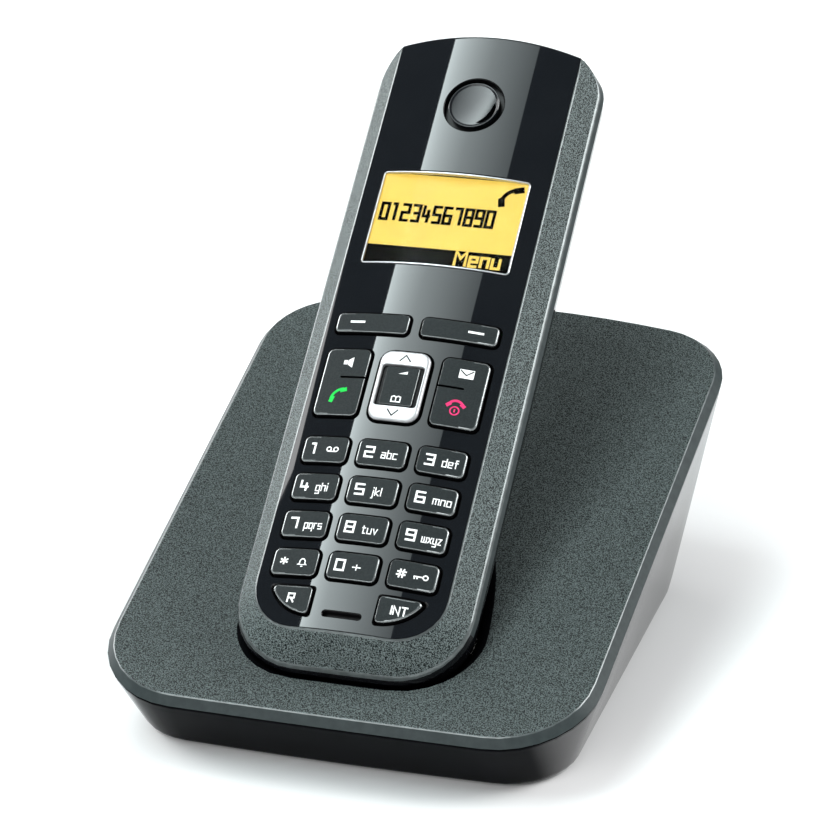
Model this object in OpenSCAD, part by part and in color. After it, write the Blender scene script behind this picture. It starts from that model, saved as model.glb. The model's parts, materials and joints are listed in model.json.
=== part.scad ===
// Cordless telephone: a sloping base station with a cradle, and the handset that docks in it.
// +X is to the right, +Y to the rear, +Z up. The rubber feet stand on z = 0.
// The handset is drawn in a frame of its own: y runs up its length from the bottom end,
// z = 0 is the middle of its face, and the back lies at negative z.

/* [Base station] */
// Slope of the base station's top cover, in degrees
plate_tilt = 15.6; // [14:0.1:17]
// Height of the top cover above the table, at its middle
plate_height = 34; // [33:0.5:36]
// Distance from the cover's middle to its front rim, along the slope
plate_front = 67.6; // [66:0.2:70]
// Distance from the cover's middle to its rear corners, along the slope
plate_rear = 66.7; // [65:0.2:69]
// Half width of the cover's rim at the front
plate_front_half = 52.9; // [51:0.1:55]
// Half width of the cover's rim at the rear
plate_rear_half = 54.2; // [52:0.1:56]
// Corner radius of the rim at the front
plate_front_r = 19; // [16:0.5:21]
// Corner radius of the rim at the rear
plate_rear_r = 16.5; // [14:0.5:19]
// Angle by which the rear edge bows outward at its ends, in degrees
plate_rear_bow = 9.5; // [6:0.5:12]
// Thickness of the top cover's plate, down to the parting groove
cover_t = 2.1; // [1.8:0.1:2.6]
// How far the parting groove stands outside the rim
rim_flare = 1.7; // [1.2:0.1:2]
// Width of the parting groove
groove_w = 0.4; // [0.3:0.1:0.6]
// Wall thickness of the lower housing
housing_wall = 2; // [1.6:0.1:2.4]
// Half width of the housing where it meets the table
foot_half = 48.2; // [46:0.2:50]
// Distance from the middle to the housing's front edge at the table
foot_front = 59; // [57:0.5:61]
// Distance from the middle to the housing's rear edge at the table
foot_rear = 42.6; // [41:0.2:45]
// Corner radius of the housing at the table
foot_corner_r = 14.7; // [12:0.5:17]

/* [Cradle] */
// Gap between the docked handset and the cradle
cradle_gap = 0.5; // [0.4:0.1:0.8]
// Wall thickness of the cradle
cradle_wall = 1.8; // [1.4:0.1:2]
// Radius of the charging pins
pin_r = 1.5; // [1.3:0.1:1.7]
// Half distance between the two charging pins
pin_half = 9; // [8:0.5:10]
// Distance of the charging pins from the handset's bottom end
pin_y = 20; // [19:0.5:22]

/* [Handset] */
// Lean of the docked handset, in degrees from level
handset_tilt = 38.16; // [37:0.1:39]
// Length of the handset
handset_len = 154.9; // [153:0.1:156]
// Half width of the handset at its seam
handset_half = 26.6; // [26:0.1:27]
// Depth of the handset from face to back
handset_depth = 27; // [26:0.5:27.5]
// Depth of the seam below the middle of the face
seam_z = 9; // [8.6:0.1:9.4]
// Width of the seam between front and back shell
seam_w = 0.4; // [0.3:0.1:0.5]
// Radius of the face's crown across its width
crown_r = 89.6; // [86:0.2:94]
// Wall thickness of the shells
shell_wall = 1.8; // [1.5:0.1:2]
// Half width of the glossy inlay
inlay_half = 21; // [20.6:0.1:21.2]
// Distance from the handset's bottom end to the inlay
inlay_y = 7.1; // [6.8:0.1:7.6]
// Thickness of the inlay
inlay_t = 1.2; // [1:0.1:1.3]

/* [Keys] */
// Height of the keys above the inlay
key_rise = 0.9; // [0.6:0.1:1.1]
// Gap around each key
key_gap = 0.35; // [0.3:0.05:0.4]
// Distance between rows of digit keys
row_pitch = 8.87; // [8.8:0.01:8.95]
// Height of a digit key, along the handset
digit_h = 6.05; // [5.8:0.05:6.2]
// Middle of the lowest row of digit keys
row_0_y = 21.4; // [21.2:0.1:21.6]
// Half width of the middle digit keys
mid_key_half = 5.44; // [5.3:0.02:5.5]
// Inner edge of the outer digit keys
side_key_in = 7.9; // [7.8:0.05:8]
// Outer edge of the outer digit keys
side_key_out = 18.2; // [18:0.1:18.4]

/* [Display and earpiece] */
// Half width of the display window
window_half = 17; // [16.5:0.1:17.2]
// Lower edge of the display window
window_y0 = 94.65; // [94:0.05:95]
// Upper edge of the display window
window_y1 = 118.25; // [117.5:0.05:118.6]
// Middle of the earpiece
ear_y = 136.15; // [135:0.05:137]
// Outer radius of the groove round the earpiece disc
ear_r = 6.9; // [6.5:0.1:7.2]
// Radius of the earpiece disc
ear_disc_r = 5.8; // [5.5:0.1:6]

/* [Hidden] */
$fn = 48;
eps = 0.02;

// Shift along Y that puts the middle of the whole object over the origin
centre_shift = -1.6;
// Where the handset's bottom end and face meet, before the shift
handset_y0 = -60.2;
handset_z0 = 25.6;

// Corner steps of every outline, and points along each bowed edge
arc_steps = 6;
bow_steps = 3;
plate_front_bow = 0.6;
floor_z = 0.8;
floor_t = 2;
foot_bow = 4;

// Handset outline: corner radii, and the bow of the top end in degrees
bottom_corner_r = 16;
top_corner_r = 9;
top_bow = 11.5;
// Height that the bow adds to the top end
top_rise = 1.8;

// Each ring of the front shell: height, side inset, bottom inset, top inset
front_rings = [[-seam_z, 0, 0, 0], [-7.3, 0.7, 0.7, 0.1], [-2.4, 5.4, 5.8, 0.4],
    [0, 5.4, 7, 0.6]];
// Each ring of the back shell, from the seam to the flat of the back
back_rings = [[-seam_z - seam_w, 0.25, 0.25, 0.3], [-13, 0.9, 0.8, 1.4], [-18, 3, 2.4, 5],
    [-22.5, 6.2, 5, 12], [-25.5, 10.2, 8.5, 22], [-handset_depth, 15.5, 14, 34]];

// Levels inside the handset, measured from the face
key_foot_z = -4.2;
mat_top_z = -4.8;
board_top_z = -6;
board_t = 1.6;
cavity_top_z = -3.9;
screw_x = 18.5;
handset_screw_y = [30, 136];
cover_half = 14;
cover_y0 = 50;
cover_y1 = 108;
cover_travel = 5;
cover_slack = 0.15;
cell_r = 5.25;
cell_len = 44.5;
cell_x = 6;
cell_z = -17.5;
cell_y0 = 56;

// Places inside the base station, before the shift
post_at = [[41, -46], [-41, -46], [38, 16], [-38, 16]];
foot_at = [[39, -28], [-39, -28], [36, 31], [-36, 31]];
post_r = 3.2;
screw_r = 1.3;
board_z = 8;
socket_x = 20;
socket_depth = 12;
socket_y1 = 44.2;
socket_w = 13;
socket_h = 11.5;
plug_w = 7.6;
plug_h = 6.6;
paging_z = 12;
paging_r = 4.5;

// Lower and upper end of the rear wall's middle line, and its lean from upright
rear_foot = [foot_rear + foot_half * tan(foot_bow) / 2.4, floor_z];
rear_rim = [69.9, 50];
rear_lean = atan2(rear_rim.x - rear_foot.x, rear_rim.y - rear_foot.y);

pin_tip_z = -handset_depth - 0.05;
holder_top_z = -handset_depth - cradle_gap - cradle_wall;

// Points of an arc about c from angle a0 to angle a1
function arc(c, r, a0, a1) =
    [for (i = [0:arc_steps]) let (a = a0 + (a1 - a0) * i / arc_steps) c + r * [cos(a), sin(a)]];

// Points of a bowed edge from p, where it slopes by the angle bow, to the middle line
function bowed(p, bow, way) =
    [for (i = [1:bow_steps]) let (t = i / bow_steps)
        [p.x * (1 - t), p.y + way * p.x * tan(bow) / 2 * (1 - (1 - t) * (1 - t))]];

// The right half of an outline symmetric about x = 0, from its front middle to its rear middle
function right_half(hf, hr, yf, yr, rf, rr, bow_f, bow_r) =
    let (front = arc([hf - rf, yf + rf], rf, -90 + bow_f, 0),
        rear = arc([hr - rr, yr - rr], rr, 0, 90 - bow_r),
        front_bow = bowed(front[0], bow_f, -1),
        rear_bow = bowed(rear[arc_steps], bow_r, 1))
    concat([for (i = [bow_steps - 1:-1:0]) front_bow[i]], front, rear, rear_bow);

// The whole outline: the right half, then its mirror image without the two middle points
function outline(hf, hr, yf, yr, rf, rr, bow_f, bow_r) =
    let (right = right_half(hf, hr, yf, yr, rf, rr, bow_f, bow_r), n = len(right))
    concat(right, [for (i = [n - 2:-1:1]) [-right[i].x, right[i].y]]);

function plate_outline(grow) =
    outline(plate_front_half + grow, plate_rear_half + grow, -plate_front - grow,
        plate_rear + grow, plate_front_r + grow, plate_rear_r + grow, plate_front_bow,
        plate_rear_bow);

function foot_outline(grow) =
    outline(foot_half + grow, foot_half + grow, -foot_front - grow, foot_rear + grow,
        foot_corner_r + grow, foot_corner_r + grow, foot_bow / 2, foot_bow);

function handset_outline(side, bottom, top) =
    outline(handset_half - side, handset_half - side, bottom,
        handset_len - top_rise - top, max(bottom_corner_r - side, 3),
        max(top_corner_r - side / 2, 3), 1, top_bow);

// ---- frames ----

module centred() translate([0, centre_shift, 0]) children();

module on_plate() centred() translate([0, 0, plate_height]) rotate([plate_tilt, 0, 0]) children();

module on_handset() centred() translate([0, handset_y0, handset_z0])
    rotate([handset_tilt, 0, 0]) children();

// z points out of the rear wall, at the height h above the table
module on_rear_wall(h) centred()
    translate([0, rear_foot.x + (h - rear_foot.y) * tan(rear_lean), h])
        rotate([-90 - rear_lean, 0, 0]) children();

// ---- shared shapes ----

module slab(z, points) translate([0, 0, z]) linear_extrude(eps) polygon(points);

// A rectangle with true round corners, from its low corner to its high corner
module round_rect(low, high, r) {
    size = high - low;
    translate(low + [r, 0]) square([size.x - 2 * r, size.y]);
    translate(low + [0, r]) square([size.x, size.y - 2 * r]);
    for (x = [low.x + r, high.x - r], y = [low.y + r, high.y - r])
        translate([x, y]) circle(r);
}

// A long drum whose top is the crown of the face, raised by lift
module crown(lift) translate([0, -10, -crown_r]) rotate([-90, 0, 0])
    cylinder(r = crown_r + lift, h = handset_len + 20, $fn = 200);

// Everything from the level z up to the crown raised by lift, within a flat shape
module under_crown(z, lift) intersection() {
    translate([0, 0, z]) linear_extrude(12) children();
    crown(lift);
}

// The handset's back, grown on every side by the given amount
module back_solid(grow) hull()
    for (ring = back_rings)
        slab(ring[0] - (ring[0] < -seam_z - 1 ? grow : 0),
            handset_outline(ring[1] - grow, ring[2] - grow, ring[3] - grow));

// The back with straight walls carried up past the face, for the cradle's hollow
module cradle_solid(grow) hull() {
    for (ring = back_rings)
        slab(ring[0] - (ring[0] < -seam_z - 1 ? grow : 0),
            handset_outline(ring[1] - grow, ring[2] - grow, ring[3] - grow));
    slab(14, handset_outline(-grow, -grow, -grow));
}

module below_plate(depth) on_plate() translate([-80, -90, -80 - depth]) cube([160, 180, 80]);

// ---- base station ----

module base_top_cover() color([0.2, 0.22, 0.22]) difference() {
    union() {
        on_plate() hull() {
            slab(-cover_t, plate_outline(rim_flare));
            slab(-eps, plate_outline(0));
        }
        intersection() {
            on_handset() cradle_solid(cradle_gap + cradle_wall);
            below_plate(cover_t / 2);
        }
        for (p = post_at) cover_post(p);
    }
    on_handset() cradle_solid(cradle_gap);
    on_handset() for (x = [-pin_half, pin_half])
        translate([x, pin_y, -handset_depth - 8]) cylinder(r = pin_r + 0.3, h = 10);
    for (p = post_at)
        centred() translate([p.x, p.y, floor_z]) cylinder(r = screw_r, h = 12);
}

// A post under the top cover that takes a screw through the housing's floor
module cover_post(p) centred() translate([p.x, p.y, floor_z + floor_t])
    cylinder(r = post_r, h = plate_height + p.y * tan(plate_tilt) - floor_z - floor_t - 1);

module housing_block(inset, top_z) hull() {
    on_plate() slab(top_z, plate_outline(rim_flare - 0.1 - inset));
    centred() slab(floor_z + (inset > 0 ? floor_t : 0), foot_outline(-inset));
}

module base_lower_housing() color([0.05, 0.05, 0.06]) difference() {
    housing_block(0, -cover_t - groove_w - eps);
    housing_block(housing_wall, -cover_t - groove_w + 0.5);
    for (p = post_at) centred() translate([p.x, p.y, -1]) {
        cylinder(r = screw_r + 0.2, h = 8);
        cylinder(r = 2.8, h = 2.7);
    }
    for (p = foot_at) centred() translate([p.x, p.y, -1]) cylinder(r = 5, h = 2.6);
    for (x = [-socket_x, socket_x]) centred()
        translate([x - plug_w / 2 - 1, 40, board_z + 3]) cube([plug_w + 2, 30, plug_h + 2]);
    on_rear_wall(paging_z) translate([0, 0, -8]) cylinder(r = paging_r + 0.3, h = 16);
}

module base_circuit_board() color([0.1, 0.35, 0.18]) centred()
    translate([0, 0, board_z]) linear_extrude(1.6) difference() {
        union() {
            round_rect([-33, -9], [33, 38], 2);
            round_rect([-8, 30], [8, 41], 2);
        }
        for (x = [-29, 29], y = [-5, 34]) translate([x, y]) circle(1.6);
    }

module base_shield_can() color([0.75, 0.76, 0.78]) centred()
    translate([-12, 0, board_z + 1.6]) linear_extrude(3) round_rect([0, 0], [24, 18], 1);

module base_capacitors() color([0.1, 0.12, 0.3]) centred()
    for (x = [17, 25.5]) translate([x, 16, board_z + 1.6]) cylinder(r = 3.2, h = 9);

module base_antenna() color([0.85, 0.7, 0.4]) centred() for (side = [-1, 1])
    translate([side * 27 - 0.3, 2, board_z + 1.6]) {
        cube([0.6, 2, 12]);
        translate([0, 0, 11]) cube([0.6, 22, 3]);
    }

module contact_holder() color([0.85, 0.85, 0.8]) on_handset() difference() {
    translate([-14, pin_y - 5, holder_top_z - 7]) cube([28, 10, 7]);
    for (x = [-pin_half, pin_half])
        translate([x, pin_y, holder_top_z - 6.4]) cylinder(r = pin_r + 0.05, h = 10);
}

module charge_pin(side) color([0.9, 0.8, 0.5]) on_handset()
    translate([side * pin_half, pin_y, pin_tip_z]) {
        translate([0, 0, -7]) cylinder(r = pin_r, h = 6.2);
        intersection() {
            translate([0, 0, -2.2]) sphere(2.2);
            translate([0, 0, -0.8]) cylinder(r = pin_r, h = 1);
        }
    }

module modular_socket(x) centred()
    translate([x - socket_w / 2, socket_y1 - socket_depth, board_z + 1.6]) difference() {
        cube([socket_w, socket_depth, socket_h]);
        translate([(socket_w - plug_w) / 2, 2, 2.4]) cube([plug_w, socket_depth, plug_h]);
    }

module paging_key() color([0.15, 0.16, 0.17]) on_rear_wall(paging_z) {
    translate([0, 0, -5]) cylinder(r = paging_r, h = 5.9);
    translate([0, 0, -6]) cylinder(r = paging_r + 1, h = 1);
}

module paging_switch() color([0.3, 0.3, 0.32]) {
    on_rear_wall(paging_z) {
        translate([-3, -3, -10.4]) cube([6, 6, 3.6]);
        translate([0, 0, -6.9]) cylinder(r = 1.5, h = 0.28);
    }
    centred() translate([-3, 38, board_z + 1.6]) cube([6, 2.4, 6.6]);
}

module rubber_feet() color([0.12, 0.12, 0.12]) centred()
    for (p = foot_at) translate(p) cylinder(r = 4.9, h = 1.6);

module base_screws() color([0.6, 0.6, 0.62]) centred() for (p = post_at)
    translate([p.x, p.y, floor_z]) {
        translate([0, 0, 0.2]) cylinder(r = 2.5, h = 0.7);
        translate([0, 0, 0.8]) cylinder(r = screw_r - 0.05, h = 8);
    }

// ---- handset shells ----

module front_solid() intersection() {
    hull() for (ring = front_rings)
        slab(ring[0] - (ring[0] == 0 ? eps : 0), handset_outline(ring[1], ring[2], ring[3]));
    crown(0);
}

module handset_front_shell() color([0.2, 0.22, 0.22]) on_handset() difference() {
    front_solid();
    // The seat that the inlay lies in
    difference() {
        translate([0, 0, -6]) linear_extrude(12) inlay_shape(0.1);
        crown(-inlay_t - 0.05);
    }
    // The opening under the inlay
    translate([0, 0, -12]) linear_extrude(20) round_rect([-19.3, 9.2], [19.3, 147], 8.5);
    // The room behind, less the screw posts
    difference() {
        translate([0, 0, -12]) linear_extrude(12 + cavity_top_z)
            round_rect([-22.5, 3.5], [22.5, handset_len - 6], 10);
        for (side = [-1, 1], y = handset_screw_y)
            translate([side * screw_x, y, -seam_z]) cylinder(r = 2.6, h = 6);
    }
    for (side = [-1, 1], y = handset_screw_y)
        translate([side * screw_x, y, -seam_z - 1]) cylinder(r = 1, h = 4.5);
}

module inlay_shape(grow) difference() {
    polygon(handset_outline(handset_half - inlay_half - grow, inlay_y - grow, 0.4 - grow));
    translate([-40, handset_len - 0.7 + grow]) square([80, 10]);
}

module handset_back_shell() color([0.05, 0.05, 0.06]) on_handset() difference() {
    back_solid(0);
    difference() {
        union() {
            back_solid(-shell_wall);
            translate([0, 0, -seam_z - 1.5]) linear_extrude(2)
                polygon(handset_outline(2.2, 2.2, 2.2));
        }
        for (side = [-1, 1], y = handset_screw_y)
            translate([side * screw_x, y, -24]) cylinder(r = 3.6, h = 24 - seam_z - seam_w);
        translate([-cover_half - 1, cover_y1 - 1, -23.6])
            cube([2 * cover_half + 2, cover_travel + 4, 1]);
    }
    for (side = [-1, 1], y = handset_screw_y) translate([side * screw_x, y, 0]) {
        translate([0, 0, -40]) cylinder(r = 2.4, h = 27);
        translate([0, 0, -20]) cylinder(r = 1.25, h = 15);
    }
    cover_region(cover_slack, cover_travel + 0.5);
    for (x = [-pin_half, pin_half])
        translate([x, pin_y, -handset_depth - 1]) cylinder(r = 3, h = 1.7);
}

// The part of the back that the battery cover takes up
module cover_region(slack, above) translate([0, 0, -handset_depth - 2]) linear_extrude(6.6)
    round_rect([-cover_half - slack, cover_y0 - slack],
        [cover_half + slack, cover_y1 + slack + above], 3);

module battery_cover() color([0.06, 0.06, 0.07]) on_handset() difference() {
    intersection() {
        back_solid(0);
        cover_region(0, 0);
    }
    back_solid(-shell_wall);
}

// ---- handset face ----

module inlay_panel() color([0.04, 0.04, 0.05]) on_handset() difference() {
    intersection() {
        translate([0, 0, -6]) linear_extrude(8) inlay_shape(0);
        crown(0);
    }
    crown(-inlay_t);
    translate([0, 0, -8]) linear_extrude(12) {
        face_openings();
        round_rect([-window_half - 0.1, window_y0 - 0.1], [window_half + 0.1, window_y1 + 0.1], 0.6);
        translate([0, ear_y]) circle(ear_r);
        round_rect([-4.25, 10], [4.25, 11.3], 0.6);
    }
}

// The openings of all the keys
module face_openings() {
    for (column = [-1:1], row = [0:3]) digit_shape(column, row, key_gap);
    for (side = [-1, 1]) {
        soft_shape(side, key_gap);
        pair_shape(side, key_gap);
        corner_shape(side, key_gap);
    }
    round_rect([-5.65 - key_gap, 55.85 - key_gap], [5.65 + key_gap, 72.6 + key_gap], 2.6);
}

module digit_shape(column, row, grow) {
    y = row_0_y + row * row_pitch;
    x0 = column == 0 ? -mid_key_half : (column < 0 ? -side_key_out : side_key_in);
    x1 = column == 0 ? mid_key_half : (column < 0 ? -side_key_in : side_key_out);
    round_rect([x0 - grow, y - digit_h / 2 - grow], [x1 + grow, y + digit_h / 2 + grow], 1.2);
}

module soft_shape(side, grow) {
    x0 = side < 0 ? -18.3 : 1.5;
    round_rect([x0 - grow, 76.85 - grow], [x0 + 16.8 + grow, 81.4 + grow], 1);
}

module pair_shape(side, grow) {
    x0 = side < 0 ? -18.4 : 8.2;
    round_rect([x0 - grow, 56.35 - grow], [x0 + 10.2 + grow, 72.45 + grow], 1.2);
}

// A key under the outer column whose outer lower corner is one large arc
module corner_shape(side, grow) intersection() {
    scale([side, 1]) round_rect([7.4 - grow, 9.9 - grow], [17.6 + grow, 15.9 + grow], 1);
    translate([side * 7.4, 20.4]) circle(10.5 + grow);
}

module cap() color([0.22, 0.23, 0.24]) on_handset() under_crown(key_foot_z, key_rise) children();

module digit_key(column, row) cap() digit_shape(column, row, 0);

module pair_key(side) color([0.22, 0.23, 0.24]) on_handset() difference() {
    under_crown(key_foot_z, key_rise) pair_shape(side, 0);
    translate([side < 0 ? -14 : 7, 65.3, -2.6]) cube([7, 0.5, 8]);
}

module nav_shape(inset) round_rect([-5.65 + inset, 55.85 + inset], [5.65 - inset, 72.6 - inset],
    max(2.3 - inset, 0.8));

module nav_ring() color([0.85, 0.86, 0.87]) on_handset() under_crown(key_foot_z, key_rise + 0.3)
    difference() {
        nav_shape(0);
        nav_shape(2);
    }

module nav_core() color([0.08, 0.08, 0.09]) on_handset() under_crown(key_foot_z, key_rise)
    nav_shape(2.05);

module display_window() color([0.8, 0.85, 0.85, 0.4]) on_handset() difference() {
    intersection() {
        translate([0, 0, -6]) linear_extrude(8)
            round_rect([-window_half, window_y0], [window_half, window_y1], 0.6);
        crown(0);
    }
    crown(-0.8);
}

module lcd_module() color([0.9, 0.75, 0.3]) on_handset()
    translate([0, 0, board_top_z]) linear_extrude(3.4)
        round_rect([-16.9, window_y0 + 0.1], [16.9, window_y1 - 0.1], 0.5);

module earpiece_disc() color([0.1, 0.1, 0.11]) on_handset() translate([0, ear_y, 0])
    difference() {
        union() {
            translate([0, 0, -2.6]) cylinder(r = ear_disc_r, h = 2.5);
            translate([0, 0, -2.6]) cylinder(r = 8.4, h = 0.8);
        }
        translate([0, 0, 21.6]) sphere(22.2, $fn = 120);
    }

module earpiece_speaker() color([0.5, 0.5, 0.5]) on_handset()
    translate([0, ear_y, board_top_z]) cylinder(r = 8, h = 3.3);

module microphone() color([0.6, 0.6, 0.62]) on_handset()
    translate([0, 12.5, board_top_z]) cylinder(r = 1.4, h = 1.6);

module keypad_mat() color([0.4, 0.4, 0.42]) on_handset()
    translate([0, 0, board_top_z]) linear_extrude(mat_top_z - board_top_z) difference() {
        round_rect([-18.8, 11.2], [18.8, 84], 7);
        translate([0, 12.5]) circle(1.6);
        for (side = [-1, 1]) translate([side * screw_x, handset_screw_y[0]]) circle(3);
    }

// ---- inside the handset ----

module handset_circuit_board() color([0.1, 0.35, 0.18]) on_handset()
    translate([0, 0, board_top_z - board_t]) linear_extrude(board_t) difference() {
        round_rect([-18.8, 9.5], [18.8, handset_len - 9], 7);
        for (side = [-1, 1], y = handset_screw_y) translate([side * screw_x, y]) circle(3);
    }

module handset_shield_can() color([0.75, 0.76, 0.78]) on_handset()
    translate([0, 0, board_top_z - board_t - 2.6]) linear_extrude(2.6)
        round_rect([-13, 26], [13, 46], 1);

module handset_antenna() color([0.85, 0.7, 0.4]) on_handset()
    translate([-12, handset_len - 16, board_top_z - board_t - 4]) {
        cube([24, 4, 0.6]);
        cube([2, 1, 4]);
    }

module battery_tray() color([0.12, 0.12, 0.13]) on_handset() difference() {
    translate([-12.6, cell_y0 - 2.6, cell_z - 1]) cube([25.2, cell_len + 5.2, cell_r + 2.4]);
    for (x = [-cell_x, cell_x]) translate([x, cell_y0 - 1, cell_z]) rotate([-90, 0, 0])
        cylinder(r = cell_r + 0.2, h = cell_len + 2);
}

module battery_cell(side) color([0.25, 0.5, 0.3]) on_handset()
    translate([side * cell_x, cell_y0, cell_z]) rotate([-90, 0, 0]) {
        cylinder(r = cell_r, h = cell_len - 0.8);
        translate([0, 0, cell_len - 0.8]) cylinder(r = 1.9, h = 0.8);
    }

module battery_contacts() color([0.8, 0.8, 0.82]) on_handset()
    for (x = [-cell_x, cell_x], y = [cell_y0 - 0.9, cell_y0 + cell_len + 0.1])
        translate([x - 3, y, cell_z - 0.8]) cube([6, 0.8, 4]);

module handset_charge_contacts() color([0.9, 0.8, 0.5]) on_handset()
    for (x = [-pin_half, pin_half])
        translate([x, pin_y, -handset_depth]) cylinder(r = 2.9, h = 0.6);

module ringer_speaker() color([0.3, 0.3, 0.32]) on_handset()
    translate([0, 122, board_top_z - board_t - 5]) cylinder(r = 9, h = 5);

module handset_screws() color([0.6, 0.6, 0.62]) on_handset()
    for (side = [-1, 1], y = handset_screw_y) translate([side * screw_x, y, 0]) {
        translate([0, 0, -14.6]) cylinder(r = 2.1, h = 1.5);
        translate([0, 0, -13.2]) cylinder(r = 0.95, h = 6.5);
    }

base_top_cover();
base_lower_housing();
base_circuit_board();
base_shield_can();
base_capacitors();
base_antenna();
contact_holder();
charge_pin(-1);  // charge_pin_left
charge_pin(1);  // charge_pin_right
color([0.2, 0.2, 0.2]) modular_socket(-socket_x);  // line_socket
color([0.9, 0.9, 0.88]) modular_socket(socket_x);  // power_socket
paging_key();
paging_switch();
rubber_feet();
base_screws();
handset_front_shell();
handset_back_shell();
battery_cover();
inlay_panel();
display_window();
lcd_module();
earpiece_disc();
earpiece_speaker();
microphone();
keypad_mat();
cap() soft_shape(-1, 0);  // soft_key_left
cap() soft_shape(1, 0);  // soft_key_right
pair_key(-1);  // talk_key
pair_key(1);  // end_key
nav_ring();
nav_core();
digit_key(-1, 3);  // key_1
digit_key(0, 3);  // key_2
digit_key(1, 3);  // key_3
digit_key(-1, 2);  // key_4
digit_key(0, 2);  // key_5
digit_key(1, 2);  // key_6
digit_key(-1, 1);  // key_7
digit_key(0, 1);  // key_8
digit_key(1, 1);  // key_9
digit_key(-1, 0);  // key_star
digit_key(0, 0);  // key_0
digit_key(1, 0);  // key_hash
cap() corner_shape(-1, 0);  // key_r
cap() corner_shape(1, 0);  // key_int
handset_circuit_board();
handset_shield_can();
handset_antenna();
battery_tray();
battery_cell(-1);  // battery_cell_left
battery_cell(1);  // battery_cell_right
battery_contacts();
handset_charge_contacts();
ringer_speaker();
handset_screws();
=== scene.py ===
"""The looks of a cordless telephone: a sloping base station and the handset docked in it.

Shapes are built in millimetres in two slanted frames, the top cover's and the handset's, and
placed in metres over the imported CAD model. In the handset's frame y runs up its length from the
bottom end, z = 0 is the middle of its face, and the back lies at negative z.
"""
import json
import math

import bmesh
import bpy
from mathutils import Matrix, Vector


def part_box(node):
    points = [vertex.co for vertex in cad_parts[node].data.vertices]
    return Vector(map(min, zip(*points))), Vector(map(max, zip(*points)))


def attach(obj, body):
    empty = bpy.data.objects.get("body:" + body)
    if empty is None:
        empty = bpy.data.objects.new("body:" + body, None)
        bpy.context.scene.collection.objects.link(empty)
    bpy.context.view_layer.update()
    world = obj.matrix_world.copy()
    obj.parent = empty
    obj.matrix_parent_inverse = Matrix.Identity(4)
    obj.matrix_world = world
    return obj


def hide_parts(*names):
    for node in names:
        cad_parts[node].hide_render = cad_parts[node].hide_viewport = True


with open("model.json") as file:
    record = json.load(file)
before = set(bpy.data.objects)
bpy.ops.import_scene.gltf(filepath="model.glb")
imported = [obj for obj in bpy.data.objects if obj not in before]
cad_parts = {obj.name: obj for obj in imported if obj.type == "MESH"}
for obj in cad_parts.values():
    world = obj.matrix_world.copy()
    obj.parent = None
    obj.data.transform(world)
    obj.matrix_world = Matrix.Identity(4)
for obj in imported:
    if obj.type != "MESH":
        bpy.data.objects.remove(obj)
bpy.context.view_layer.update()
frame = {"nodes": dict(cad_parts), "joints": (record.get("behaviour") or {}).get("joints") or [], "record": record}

MM = 0.001
NODES = frame["nodes"]

# Base station, in the frame of its top cover
PLATE_TILT = math.radians(15.6)
RIM = dict(hf=52.9, hr=54.2, yf=-67.6, yr=66.7, rf=19, rr=16.5, bow_f=0.6, bow_r=9.5)
RIM_FLARE = 1.7
COVER_T = 2.1
GROOVE = 0.4
CRADLE_GAP = 0.5
CRADLE_WALL = 1.8
LIP = 1.3

# Housing, about the middle of the top cover
FOOT = dict(hf=48.2, hr=48.2, yf=-59, yr=42.6, rf=14.7, rr=14.7, bow_f=2, bow_r=4)
FLOOR_Z = 0.8
WALL = 2
SCREW_WELLS = [(41, -46), (-41, -46), (38, 16), (-38, 16)]
SCREW_WELL_R = 2.8
FEET = [(39, -28), (-39, -28), (36, 31), (-36, 31)]
FOOT_POCKET_R = 5
SOCKETS_X = (-20, 20)
SOCKET_HALF = 4.8
SOCKET_Z = (11, 19.6)
PAGING_HOLE_R = 4.8

# Handset
HALF = 26.6
LENGTH = 154.9
DEPTH = 27
TOP_RISE = 1.8
TOP_BOW = math.radians(11.5)
TOP_R = 9
TOP_INSET = 0.35
BOTTOM_R = 16
SEAM_Z = -9
SEAM = 0.4
EDGE_Z = -7.3
EDGE_INSET = 0.7
FILLET_STEPS = (0, 0.25, 0.5, 0.75, 1)
BACK_WALL = 1.8
BACK_WELLS = [(side * 18.5, y) for side in (-1, 1) for y in (30, 136)]
BACK_WELL_R = 2.4
PINS = [(-9, 20), (9, 20)]
PIN_HOLE_R = 1.8
CONTACT_R = 3
COVER_BOX = (-14, 50, 14, 108)
COVER_R = 3
COVER_GAP = 0.15
COVER_TRAVEL = 5.5

# Face
CROWN_R = 89.6
INLAY_HALF = 21
INLAY_Y = 7.1
INLAY_T = 1.2
INLAY_LEDGE = 1.7
INLAY_COLUMNS = 56
ROLL_R = 0.8
WINDOW = (-17, 94.65, 17, 118.25)
LCD_Z = -2.1
EAR_Y = 136.15
EAR_R = 6.9
EAR_DISC_R = 5.8
EAR_DISH = 0.42
EAR_SLOT_R = 4.7
MIC_SLOT = (-4.25, 10, 4.25, 11.3)
MIC_R = 0.6

# Keys, each a box from its left and lower to its right and upper edge
KEY_RISE = 0.9
KEY_FOOT = -4.2
KEY_GAP = 0.42
KEY_ROWS = (("star", "0", "hash"), ("7", "8", "9"), ("4", "5", "6"), ("1", "2", "3"))
COLUMNS = ((-18.2, -7.9), (-5.44, 5.44), (7.9, 18.2))
ROW_0_Y = 21.4
ROW_PITCH = 8.87
DIGIT_H = 6.05
DIGIT_R = 1.2
SOFT_KEYS = {"soft_key_left": (-18.3, 76.85, -1.5, 81.4), "soft_key_right": (1.5, 76.85, 18.3, 81.4)}
SOFT_R = 1.0
PAIR_KEYS = {"talk_key": (-18.4, 56.35, -8.2, 72.45), "end_key": (8.2, 56.35, 18.4, 72.45)}
PAIR_SLOTS = {"talk_key": (-14, 65.3, -7, 65.8), "end_key": (7, 65.3, 14, 65.8)}
PAIR_R = 1.4
NAV = (-5.65, 55.85, 5.65, 72.6)
NAV_R = 2.5
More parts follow.
